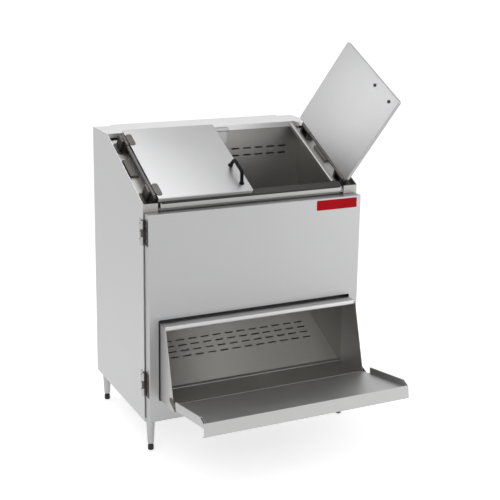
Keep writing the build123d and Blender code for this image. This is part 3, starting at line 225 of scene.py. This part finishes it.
# The top cap is the same stainless steel with a much lighter base colour: painted light.
cap_steel_painted_light = brushed_metal("cap_steel_painted_light", (0.70, 0.70, 0.70), 0.38, ACROSS)
rail_steel = brushed_metal("rail_steel", (0.38, 0.38, 0.375), 0.32, ACROSS)
tray_steel = brushed_metal("tray_steel", (0.47, 0.47, 0.468), 0.44, ACROSS)
liner_steel = brushed_metal("liner_steel", (0.40, 0.392, 0.375), 0.44, UPRIGHT)
cheek_steel = brushed_metal("cheek_steel", (0.51, 0.505, 0.50), 0.42, UPRIGHT)
# The mouth header is the same steel with a lighter base colour: a painted highlight on its lip.
header_steel_painted_light = brushed_metal("header_steel_painted_light", (0.58, 0.58, 0.58), 0.34, ACROSS)
# The hinge channels are the same steel with a darker base colour: painted shade.
channel_steel_painted_shade = brushed_metal("channel_steel_painted_shade", (0.40, 0.395, 0.38), 0.48, ALONG)
leg_steel = brushed_metal("leg_steel", (0.42, 0.42, 0.425), 0.28, UPRIGHT)
leaf_steel = brushed_metal("leaf_steel", (0.42, 0.415, 0.41), 0.36, UPRIGHT, edge=0.4 * MM)
hinge_steel = brushed_metal(
    "hinge_steel", (0.105, 0.097, 0.092), 0.42, NO_GRAIN, relief=0.2, edge=0.6 * MM, blotch=0.15
)
# The rods' dark base colour is partly their own colour and partly painted shade of the band along the
# lids' hinge edge.
rod_steel = brushed_metal("rod_steel", (0.11, 0.105, 0.10), 0.45, ACROSS, relief=0.05)
galvanised = brushed_metal("galvanised", (0.54, 0.54, 0.545), 0.42, SPANGLE, blotch=0.12)
heater_sheath = brushed_metal("heater_sheath", (0.24, 0.20, 0.17), 0.42, NO_GRAIN, edge=0, blotch=0.2)


def screw_metal(name, colour, rough):
    """A small turned head: hardly any relief, and a fine edge."""
    return brushed_metal(name, colour, rough, NO_GRAIN, relief=0.05, edge=0.2 * MM)


screw_steel = screw_metal("screw_steel", (0.60, 0.60, 0.61), 0.28)
hinge_screw = screw_metal("hinge_screw", (0.17, 0.16, 0.155), 0.35)
dark_screw = screw_metal("dark_screw", (0.05, 0.05, 0.05), 0.35)

handle_black = moulded(
    "handle_black", (0.005, 0.005, 0.006), 0.46, tooth_scale=260, amount=0.2, relief=0.08, shine=0.06
)
control_black = moulded("control_black", (0.015, 0.015, 0.016), 0.35, tooth_scale=300)
mark_white = moulded("mark_white", (0.80, 0.80, 0.78), 0.5, tooth_scale=300, amount=0.03, edge=0)
mark_grey = moulded("mark_grey", (0.10, 0.10, 0.10), 0.5, tooth_scale=300, amount=0.05, edge=0)
# Grey rubber pads whose black outer strip is painted shade, not a second rubber.
pad_rubber_painted_shade = bumper_rubber_painted_shade(
    "pad_rubber_painted_shade", (0.13, 0.125, 0.115), (0.014, 0.014, 0.014), PAINTED_SHADE_STRIP_START
)
# Near-black rubber whose darkness is painted shade: it lies where the ledge under the lids' front edge is
# in shade.
seal_rubber_painted_shade = moulded(
    "seal_rubber_painted_shade", (0.045, 0.044, 0.042), 0.55, tooth_scale=240, amount=0.15, relief=0.1, shine=0.15
)
foot_black = moulded("foot_black", (0.022, 0.022, 0.023), 0.5)
silicone = moulded("silicone", (0.42, 0.42, 0.41), 0.6, tooth_scale=160)
motor_paint = moulded("motor_paint", (0.06, 0.065, 0.075), 0.45, tooth_scale=160)
badge_red = moulded(
    "badge_red", (0.43, 0.004, 0.010), 0.40,
    tooth_scale=60, amount=0.06, relief=0.02, edge=0.3 * MM, shine=0.05,
)

finish_of = {
    "lower_front_rail": door_steel_painted_shade,
    "door_skin": door_steel_painted_shade,
    "door_liner": liner_steel,
    "mouth_cheeks": cheek_steel,
    "mouth_sill": liner_steel,
    "mouth_header": header_steel_painted_light,
    "hopper_side_liners": liner_steel,
    "hopper_back_liner": liner_steel,
    "chute_floor": liner_steel,
    "front_top_rail": rail_steel,
    "top_cap": cap_steel_painted_light,
    "left_hinge_channel": channel_steel_painted_shade,
    "right_hinge_channel": channel_steel_painted_shade,
    "channel_bumpers": pad_rubber_painted_shade,
    "lid_hinge_bases": hinge_steel,
    "left_lid_hinge_leaves": hinge_steel,
    "right_lid_hinge_leaves": hinge_steel,
    "lid_hinge_rods": rod_steel,
    "door_hinge_fixed_leaves": leaf_steel,
    "door_hinge_moving_leaves": hinge_steel,
    "door_hinge_pins": hinge_steel,
    "latch_base": hinge_steel,
    "latch_arm": hinge_steel,
    "latch_keeper": hinge_steel,
    "tray_pivot_brackets": hinge_steel,
    "tray_hinge_rod": rod_steel,
    "tray_pan": tray_steel,
    "tray_stiffener": side_steel,
    "left_lid_skin": lid_steel_painted_shade,
    "right_lid_skin": lid_steel_painted_shade,
    "left_lid_liner": lid_liner_steel,
    "right_lid_liner": lid_liner_steel,
    "left_lid_handle": handle_black,
    "right_lid_handle": handle_black,
    "left_lid_handle_screws": dark_screw,
    "right_lid_handle_screws": dark_screw,
    "centre_lid_rest": galvanised,
    "service_cover_screws": screw_steel,
    "blower_housing": galvanised,
    "blower_wheel": galvanised,
    "heater_brackets": galvanised,
    "blower_motor": motor_paint,
    "heater_element": heater_sheath,
    "thermostat": control_black,
    "thermostat_knob": control_black,
    "switch_housing": control_black,
    "switch_rocker": control_black,
    "cable_gland": control_black,
    "door_gasket": silicone,
    "legs": leg_steel,
}
for name, piece in nodes.items():
    piece.data.materials.clear()
    finish = foot_black if name.endswith("_foot") else finish_of.get(name, side_steel)
    piece.data.materials.append(finish)

# ---------------------------------------------------------------- where things are

# The sloping top: it starts at the cabinet's front edge, and the lids' pins run along it.
PIN_ABOVE_SLOPE = 10 * MM
lid_joint = joints["right_lid_hinge"]
lid_pin = Vector(lid_joint["pos_m"])
up_slope = Vector(lid_joint["axis"]).normalized()
off_slope = Vector((0, -up_slope.z, up_slope.y))
slope_start = Vector((0, lid_pin.y, lid_pin.z)) - PIN_ABOVE_SLOPE * off_slope

# The right lid is built closed, as the left one, and then turned open about its pin.
lid_swing = Matrix.Rotation(math.radians(-lid_joint["range_deg"][0]), 4, up_slope)
opened = Matrix.Translation(lid_pin) @ lid_swing @ Matrix.Translation(-lid_pin)


def slope_point(x, along, height):
    """A point on the sloping top: along runs up it and height is square to it."""
    return slope_start + Vector((x, 0, 0)) + along * up_slope + height * off_slope


def facing(place, outward, upward):
    """A place whose local Z points outward and whose local Y is as near upward as it can be."""
    z_axis = Vector(outward).normalized()
    x_axis = Vector(upward).cross(z_axis).normalized()
    y_axis = z_axis.cross(x_axis)
    turn = Matrix((x_axis, y_axis, z_axis)).transposed().to_4x4()
    return Matrix.Translation(place) @ turn


def on_slope(x, along, height):
    """A place on the sloping top that faces off it."""
    return facing(slope_point(x, along, height), off_slope, up_slope)


# ---------------------------------------------------------------- mesh building blocks


def finished(name, work, material, body, smooth=False, round_edges=0.0):
    """Turn the mesh that was worked on into a named piece that rides on the body."""
    bmesh.ops.recalc_face_normals(work, faces=work.faces)
    mesh = bpy.data.meshes.new(name)
    work.to_mesh(mesh)
    work.free()
    piece = bpy.data.objects.new(name, mesh)
    bpy.context.collection.objects.link(piece)
    mesh.materials.append(material)
    if smooth:
        mesh.polygons.foreach_set("use_smooth", [True] * len(mesh.polygons))
    if round_edges:
        rounding = piece.modifiers.new("edge", "BEVEL")
        rounding.width = round_edges
        rounding.segments = 3
        rounding.limit_method = "ANGLE"
    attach(piece, body)
    return piece


def lathed(work, place, profile, segments=24):
    """Turn a profile of (radius, height) round the place's Z axis, closed where the radius is nothing."""
    rings = []
    for radius, height in profile:
        if radius == 0:
            rings.append([work.verts.new(place @ Vector((0, 0, height)))])
            continue
        ring = []
        for step in range(segments):
            angle = 2 * math.pi * step / segments
            point = Vector((radius * math.cos(angle), radius * math.sin(angle), height))
            ring.append(work.verts.new(place @ point))
        rings.append(ring)
    for lower, upper in zip(rings, rings[1:]):
        for step in range(segments):
            after = (step + 1) % segments
            corners = [lower[step % len(lower)], lower[after % len(lower)]]
            corners += [upper[after % len(upper)], upper[step % len(upper)]]
            work.faces.new(list(dict.fromkeys(corners)))


def prism(work, outline, shift):
    """A solid between a flat outline and the same outline moved by shift."""
    near = [work.verts.new(point) for point in outline]
    far = [work.verts.new(Vector(point) + Vector(shift)) for point in outline]
    work.faces.new(near)
    work.faces.new(list(reversed(far)))
    for step in range(len(near)):
        after = (step + 1) % len(near)
        work.faces.new((near[step], near[after], far[after], far[step]))


def rounded_outline(width, height, corner, steps=6):
    """A rectangle about the origin in the XY plane, with round corners."""
    points = []
    for quarter in range(4):
        middle_x = (width / 2 - corner) * (1 if quarter in (0, 3) else -1)
        middle_y = (height / 2 - corner) * (1 if quarter in (0, 1) else -1)
        for step in range(steps + 1):
            angle = math.pi / 2 * (quarter + step / steps)
            x = middle_x + corner * math.cos(angle)
            y = middle_y + corner * math.sin(angle)
            points.append(Vector((x, y, 0)))
    return points


HEAD_SEGMENTS = 16
RECESS_SHARE = 0.55
NONE_SUNK, ARMS_SUNK, ALL_SUNK = 0, 1, 2
# Rings of a screw head from rim to middle: share of its radius, share of its height, and what is sunk.
HEAD_RINGS = (
    (1, 0, NONE_SUNK),
    (0.96, 0.45, NONE_SUNK),
    (0.8, 0.82, NONE_SUNK),
    (0.62, 0.97, NONE_SUNK),
    (0.52, 1, ARMS_SUNK),
    (0.2, 1, ALL_SUNK),
)


def cross_head(work, place, radius, height):
    """A domed screw head with a cross recess, standing on the place's XY plane."""
    segments = HEAD_SEGMENTS
    depth = RECESS_SHARE * height
    rings = []
    for share, level, cut in HEAD_RINGS:
        ring = []
        for step in range(segments):
            angle = 2 * math.pi * step / segments
            in_arm = step % 4 == 0
            sunk = depth if cut == ALL_SUNK or (cut == ARMS_SUNK and in_arm) else 0
            point = (
                share * radius * math.cos(angle),
                share * radius * math.sin(angle),
                level * height - sunk,
            )
            ring.append(work.verts.new(place @ Vector(point)))
        rings.append(ring)
    for lower, upper in zip(rings, rings[1:]):
        for step in range(segments):
            after = (step + 1) % segments
            work.faces.new((lower[step], lower[after], upper[after], upper[step]))
    work.faces.new(rings[-1])
    work.faces.new(list(reversed(rings[0])))


def screw_heads(name, places, radius, height, material, body):
    """One piece with a screw head at each place."""
    work = bmesh.new()
    for place in places:
        cross_head(work, place, radius, height)
    return finished(name, work, material, body)


# ---------------------------------------------------------------- name plate, left bare

PLATE_SIZE = (172 * MM, 38 * MM)
PLATE_THICKNESS = 1.2 * MM
PLATE_CORNER = 3 * MM
PLATE_FROM_DOOR_EDGE = 18 * MM
PLATE_FROM_DOOR_TOP = 7 * MM
PLATE_EDGE = 0.4 * MM

door_low, door_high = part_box("door_skin")
plate_middle = Vector((
    door_high[0] - PLATE_FROM_DOOR_EDGE - PLATE_SIZE[0] / 2,
    door_low[1],
    door_high[2] - PLATE_FROM_DOOR_TOP - PLATE_SIZE[1] / 2,
))
plate_place = facing(plate_middle, FRONT, UP)
work = bmesh.new()
plate_outline = [plate_place @ point for point in rounded_outline(*PLATE_SIZE, PLATE_CORNER)]
prism(work, plate_outline, (0, -PLATE_THICKNESS, 0))
badge = finished("name_plate", work, badge_red, "front_door", round_edges=PLATE_EDGE)

# ---------------------------------------------------------------- dark rubber seal along the front ledge, its darkness painted shade under the lids' front edge

SEAL_HALF_WIDTH = 364 * MM
SEAL_BACK = 29 * MM
SEAL_UNDERSIDE = -1.95 * MM
SEAL_TOP = 0.4 * MM
SEAL_LIP_THICKNESS = 1.8 * MM
SEAL_LIP_DROP = 7 * MM
SEAL_FRONT_STEP = 1 * MM
SEAL_EDGE = 0.5 * MM

rail_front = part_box("front_top_rail")[0][1]
seal_top_front = slope_point(0, 0, SEAL_TOP)
seal_under_front = slope_point(0, SEAL_FRONT_STEP, SEAL_UNDERSIDE)
seal_profile = [
    slope_point(0, SEAL_BACK, SEAL_UNDERSIDE),
    slope_point(0, SEAL_BACK, SEAL_TOP),
    seal_top_front,
    Vector((0, rail_front - SEAL_LIP_THICKNESS, seal_top_front.z - SEAL_LIP_THICKNESS)),
    Vector((0, rail_front - SEAL_LIP_THICKNESS, seal_top_front.z - SEAL_LIP_DROP)),
    Vector((0, rail_front, seal_top_front.z - SEAL_LIP_DROP)),
    Vector((0, rail_front, seal_under_front.z)),
    seal_under_front,
]
seal_end = [point - Vector((SEAL_HALF_WIDTH, 0, 0)) for point in seal_profile]
work = bmesh.new()
prism(work, seal_end, (2 * SEAL_HALF_WIDTH, 0, 0))
seal = finished("ledge_seal_painted_shade", work, seal_rubber_painted_shade, "cabinet", round_edges=SEAL_EDGE)

# ---------------------------------------------------------------- gasket round the door's back

GASKET_LIP = 0.9 * MM
GASKET_WIDTH = 14 * MM
GASKET_SECTION_STEPS = 16

gasket_low, gasket_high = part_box("door_gasket")
gasket_depth = gasket_high.y - gasket_low.y


def gasket_section(step):
    """A point of the gasket's face, from its outer (0) to its inner edge (1): how far in, and how deep."""
    ridges = abs(math.sin(2 * math.pi * step))
    return step * GASKET_WIDTH, gasket_depth - GASKET_LIP * (1 - ridges)


work = bmesh.new()
face_steps = [step / GASKET_SECTION_STEPS for step in range(GASKET_SECTION_STEPS + 1)]
section = [(0, 0)] + [gasket_section(step) for step in face_steps]
section.append((GASKET_WIDTH, 0))
loops = []
for inwards, depth in section:
    corners = []
    for side_x, side_z in ((-1, -1), (1, -1), (1, 1), (-1, 1)):
        corner_x = gasket_high[0] - inwards
        corner_z = gasket_high[2] - inwards if side_z > 0 else gasket_low[2] + inwards
        corners.append(work.verts.new((side_x * corner_x, gasket_low.y + depth, corner_z)))
    loops.append(corners)
for outer, inner in zip(loops, loops[1:] + loops[:1]):
    for step in range(4):
        after = (step + 1) % 4
        work.faces.new((outer[step], outer[after], inner[after], inner[step]))
gasket = finished("door_seal", work, silicone, "front_door")
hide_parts("door_gasket")

# ---------------------------------------------------------------- screws

# Three heads on each door hinge leaf.
HINGE_HALF = 45 * MM
HINGE_SCREW_SPREAD = 28 * MM
LEAF_SCREW_INSET = 10 * MM
LEAF_THICKNESS = 2 * MM
LEAF_HEAD_RADIUS = 3.2 * MM
LEAF_HEAD_HEIGHT = 1.4 * MM

leaf_low, leaf_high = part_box("door_hinge_fixed_leaves")
moving_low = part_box("door_hinge_moving_leaves")[0]
cabinet_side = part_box("left_side_panel")[0][0]
door_side = door_low[0]
hinge_middles = (leaf_low.z + HINGE_HALF, leaf_high.z - HINGE_HALF)
screw_offsets = (-HINGE_SCREW_SPREAD, 0, HINGE_SCREW_SPREAD)
screw_rows = [middle + offset for middle in hinge_middles for offset in screw_offsets]


def leaf_places(side, along):
    """Places of one leaf's heads, at its outer face."""
    return [facing((side - LEAF_THICKNESS, along, row), LEFT, UP) for row in screw_rows]


fixed_places = leaf_places(cabinet_side, leaf_high.y - LEAF_SCREW_INSET)
moving_places = leaf_places(door_side, moving_low.y + LEAF_SCREW_INSET)
for name, places, body in (
    ("hinge_screws_cabinet", fixed_places, "cabinet"),
    ("hinge_screws_door", moving_places, "front_door"),
):
    heads = screw_heads(name, places, LEAF_HEAD_RADIUS, LEAF_HEAD_HEIGHT, hinge_screw, body)

# The lids' hinges: a pair of screws in each leaf and in each base.
LID_HINGE_PLACES = (54 * MM, 356 * MM)
LID_LEAF_TOP = 18 * MM
LID_LEAF_X = 364 * MM
LID_SCREW_SPREAD = 21 * MM
LID_SCREW_RADIUS = 3.2 * MM
LEAF_SCREW_HEIGHT = 0.1 * MM
BASE_SCREW_HEIGHT = 1.3 * MM
BASE_TOP = -19.5 * MM
BASE_SCREW_X = 415 * MM
lid_offsets = (-LID_SCREW_SPREAD, LID_SCREW_SPREAD)
lid_rows = [place + offset for place in LID_HINGE_PLACES for offset in lid_offsets]
left_leaf = [on_slope(-LID_LEAF_X, row, LID_LEAF_TOP) for row in lid_rows]
right_leaf = [opened @ on_slope(LID_LEAF_X, row, LID_LEAF_TOP) for row in lid_rows]
bases = [on_slope(side * BASE_SCREW_X, row, BASE_TOP) for side in (-1, 1) for row in lid_rows]
# The leaves' heads are sunk almost flush, because an open lid's leaves lie against the bases.
for name, places, height, body in (
    ("left_lid_leaf_screws", left_leaf, LEAF_SCREW_HEIGHT, "left_lid"),
    ("right_lid_leaf_screws", right_leaf, LEAF_SCREW_HEIGHT, "right_lid"),
    ("lid_base_screws", bases, BASE_SCREW_HEIGHT, "cabinet"),
):
    heads = screw_heads(name, places, LID_SCREW_RADIUS, height, dark_screw, body)

# Domed heads over the handle screws on the inner side of each lid.
HANDLE_X = 36 * MM
HANDLE_ROWS = (47 * MM, 158 * MM)
HANDLE_HEAD_UNDERSIDE = -1.5 * MM
HANDLE_HEAD_RADIUS = 6.3 * MM
HANDLE_HEAD_HEIGHT = 1.3 * MM


def under_lid(x, row):
    """A place on a closed lid's inner side that faces down into the hopper."""
    return facing(slope_point(x, row, HANDLE_HEAD_UNDERSIDE), -off_slope, up_slope)


under_left = [under_lid(-HANDLE_X, row) for row in HANDLE_ROWS]
under_right = [opened @ under_lid(HANDLE_X, row) for row in HANDLE_ROWS]
for name, places, body in (
    ("left_handle_heads", under_left, "left_lid"),
    ("right_handle_heads", under_right, "right_lid"),
):
    heads = screw_heads(name, places, HANDLE_HEAD_RADIUS, HANDLE_HEAD_HEIGHT, dark_screw, body)

# Heads on the rear service cover's screws.
COVER_SCREW_INSET = 10 * MM
COVER_HEAD_RADIUS = 4.4 * MM
COVER_HEAD_HEIGHT = 1.2 * MM
cover_low, cover_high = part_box("rear_service_cover")
head_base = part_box("service_cover_screws")[1].y
cover_places = [
    facing((x, head_base, z), BACK, UP)
    for x in (cover_low.x + COVER_SCREW_INSET, 0, cover_high.x - COVER_SCREW_INSET)
    for z in (cover_low.z + COVER_SCREW_INSET, cover_high.z - COVER_SCREW_INSET)
]
cover_heads = screw_heads(
    "service_cover_heads", cover_places, COVER_HEAD_RADIUS, COVER_HEAD_HEIGHT, screw_steel, "cabinet"
)

# ---------------------------------------------------------------- weld beads at the legs

WELD_RADIUS = 17.4 * MM
WELD_SIZE = 2.2 * MM
LEG_INSET = 32 * MM
LEG_FRONT_INSET = 22 * MM
WELD_HEIGHT = 122.5 * MM
BEAD_ANGLES = [math.radians(angle) for angle in range(-90, 91, 30)]

side_low, side_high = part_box("right_side_panel")
bead = [
    (WELD_RADIUS + WELD_SIZE * math.cos(angle), WELD_SIZE * math.sin(angle)) for angle in BEAD_ANGLES
]
work = bmesh.new()
for x in (-side_high.x + LEG_INSET, side_high.x - LEG_INSET):
    for y in (side_low.y + LEG_FRONT_INSET, side_high.y - LEG_FRONT_INSET):
        lathed(work, Matrix.Translation((x, y, WELD_HEIGHT)), bead + bead[:1])
welds = finished("leg_welds", work, leg_steel, "cabinet", smooth=True)

# ---------------------------------------------------------------- marks on the rear controls

TICK_COUNT = 10
TICK_SIZE = (1.4 * MM, 6 * MM)
TICK_RADIUS = 27 * MM
TICK_THICKNESS = 0.25 * MM
MARK_CORNER_SHARE = 0.3
POINTER_SIZE = (2.0 * MM, 4.2 * MM)
POINTER_EDGE_SHARE = 0.55
GRIP_REACH = 14 * MM

knob_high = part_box("thermostat_knob")[1]
knob_joint = joints["thermostat_turn"]
knob_middle = Vector(knob_joint["pos_m"])
panel_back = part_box("rear_panel")[1].y
tick_sweep = math.radians(knob_joint["range_deg"][1])
knob_direction = math.copysign(1, knob_joint["axis"][1])


def mark(work, place, size, thickness):
    """A thin raised bar on the place's XY plane."""
    outline = [place @ point for point in rounded_outline(*size, MARK_CORNER_SHARE * size[0])]
    prism(work, outline, place.to_3x3() @ Vector((0, 0, thickness)))


dial = facing((knob_middle.x, panel_back, knob_middle.z), BACK, UP)
work = bmesh.new()
for step in range(TICK_COUNT + 1):
    turn = Matrix.Rotation(knob_direction * tick_sweep * step / TICK_COUNT, 4, "Z")
    tick_place = dial @ turn @ Matrix.Translation((0, TICK_RADIUS, 0))
    mark(work, tick_place, TICK_SIZE, TICK_THICKNESS)
ticks = finished("thermostat_ticks", work, mark_grey, "cabinet")

pointer_y = knob_high.y - POINTER_EDGE_SHARE * POINTER_SIZE[1]
pointer_place = facing((knob_middle.x, pointer_y, knob_middle.z + GRIP_REACH), UP, BACK)
work = bmesh.new()
mark(work, pointer_place, POINTER_SIZE, TICK_THICKNESS)
pointer = finished("knob_pointer", work, mark_white, "knob")

# ---------------------------------------------------------------- floor

FLOOR_HALF = 40.0
FLOOR_GLOW = 0.52
FLOOR_ROUGHNESS = 0.9
FLOOR_COLOUR = (0.90, 0.90, 0.90)
FLOOR_MOTTLE_SCALE = 2.0
FLOOR_MOTTLE = 0.004
WHITE = (1, 1, 1, 1)


def rays_that_see(tree):
    """1 for rays from the camera, a glossy surface or through glass, else 0."""
    rays = tree.nodes.new("ShaderNodeLightPath")
    direct = combine(tree, "MAXIMUM", rays.outputs["Is Camera Ray"], rays.outputs["Is Glossy Ray"])
    return combine(tree, "MAXIMUM", direct, rays.outputs["Is Transmission Ray"])


floor_mesh = bpy.data.meshes.new("floor")
floor_signs = [(-1, -1), (1, -1), (1, 1), (-1, 1)]
floor_corners = [(FLOOR_HALF * x, FLOOR_HALF * y, 0) for x, y in floor_signs]
floor_mesh.from_pydata(floor_corners, [], [(0, 1, 2, 3)])
floor = bpy.data.objects.new("floor", floor_mesh)
bpy.context.collection.objects.link(floor)
floor_paint, tree, shader = node_material("floor_paint")
shader.inputs["Roughness"].default_value = FLOOR_ROUGHNESS
shader.inputs["Specular IOR Level"].default_value = 0.0
shader.inputs["Emission Color"].default_value = WHITE
mottle = spread(tree, noise(tree, EVEN, FLOOR_MOTTLE_SCALE), 0, 1)
glow = combine(tree, "MULTIPLY", rays_that_see(tree), FLOOR_GLOW)
tree.links.new(varied(tree, FLOOR_COLOUR, mottle, FLOOR_MOTTLE), shader.inputs["Base Color"])
tree.links.new(glow, shader.inputs["Emission Strength"])
floor_mesh.materials.append(floor_paint)

# ---------------------------------------------------------------- world: plain soft light, seen as white

SKY_STRENGTH = 0.62
SKY_LOW = (0.60, 0.60, 0.60, 1)
SKY_HIGH = WHITE
SKY_LOW_END = 0.40
SKY_HIGH_START = 0.85

world = bpy.data.worlds.new("studio")
bpy.context.scene.world = world
world.use_nodes = True
tree = world.node_tree
tree.nodes.clear()
world_out = tree.nodes.new("ShaderNodeOutputWorld")
seen = tree.nodes.new("ShaderNodeBackground")
seen.inputs["Color"].default_value = WHITE
seen.inputs["Strength"].default_value = 1.0
lit = tree.nodes.new("ShaderNodeBackground")
lit.inputs["Strength"].default_value = SKY_STRENGTH
direction = tree.nodes.new("ShaderNodeTexCoord")
split = tree.nodes.new("ShaderNodeSeparateXYZ")
ramp = tree.nodes.new("ShaderNodeValToRGB")
ramp.color_ramp.elements[0].position = SKY_LOW_END
ramp.color_ramp.elements[0].color = SKY_LOW
ramp.color_ramp.elements[1].position = SKY_HIGH_START
ramp.color_ramp.elements[1].color = SKY_HIGH
tree.links.new(direction.outputs["Generated"], split.inputs["Vector"])
tree.links.new(spread(tree, split.outputs["Z"], 0, 1, start=-1, end=1), ramp.inputs["Fac"])
tree.links.new(ramp.outputs["Color"], lit.inputs["Color"])
mixed = tree.nodes.new("ShaderNodeMixShader")
tree.links.new(rays_that_see(tree), mixed.inputs["Fac"])
tree.links.new(lit.outputs["Background"], mixed.inputs[1])
tree.links.new(seen.outputs["Background"], mixed.inputs[2])
tree.links.new(mixed.outputs["Shader"], world_out.inputs["Surface"])

# ---------------------------------------------------------------- lamps


def soft_light(name, place, target, size, power):
    """An area lamp that looks at the target, with its size in metres and its power in watts."""
    data = bpy.data.lights.new(name, "AREA")
    data.shape = "RECTANGLE"
    data.size, data.size_y = size
    data.energy = power
    lamp = bpy.data.objects.new(name, data)
    lamp.location = place
    lamp.rotation_euler = (Vector(target) - Vector(place)).to_track_quat("-Z", "Y").to_euler()
    bpy.context.collection.objects.link(lamp)


# Name, place, target, size and power.
LAMPS = (
    ("key", (-2.6, -3.4, 3.6), (0, 0, 0.7), (4.0, 3.6), 50),
    ("fill", (3.2, -2.6, 2.2), (0, 0, 0.6), (2.4, 2.4), 22),
    ("top", (-0.21, 0.0, 2.05), (-0.19, 0.02, 1.0), (1.1, 0.9), 6.4),
    ("right", (1.9, -2.1, 0.5), (0.3, -0.3, 0.6), (1.2, 1.2), 3),
    ("back", (-0.95, 0.95, 1.75), (0.5, -0.3, 1.3), (0.5, 0.5), 1.5),
)
for lamp in LAMPS:
    soft_light(*lamp)

# ---------------------------------------------------------------- camera, at the photograph's angle

# Solved from the photograph, with a smaller shift than the best fit.
# Other views through this camera then keep the whole object.
CAMERA_PLACE = (-1.7192, -3.7678, 1.8456)
CAMERA_TURN_DEG = (76.1427, -0.8625, -25.7604)
CAMERA_LENS_MM = 78.54
CAMERA_SENSOR_MM = 36
CAMERA_SHIFT_UP = -0.08

camera_data = bpy.data.cameras.new("camera")
camera_data.lens = CAMERA_LENS_MM
camera_data.sensor_width = CAMERA_SENSOR_MM
camera_data.shift_y = CAMERA_SHIFT_UP
camera = bpy.data.objects.new("camera", camera_data)
camera.location = CAMERA_PLACE
camera.rotation_euler = [math.radians(angle) for angle in CAMERA_TURN_DEG]
bpy.context.collection.objects.link(camera)
bpy.context.scene.camera = camera
bpy.context.scene.view_settings.view_transform = "Standard"
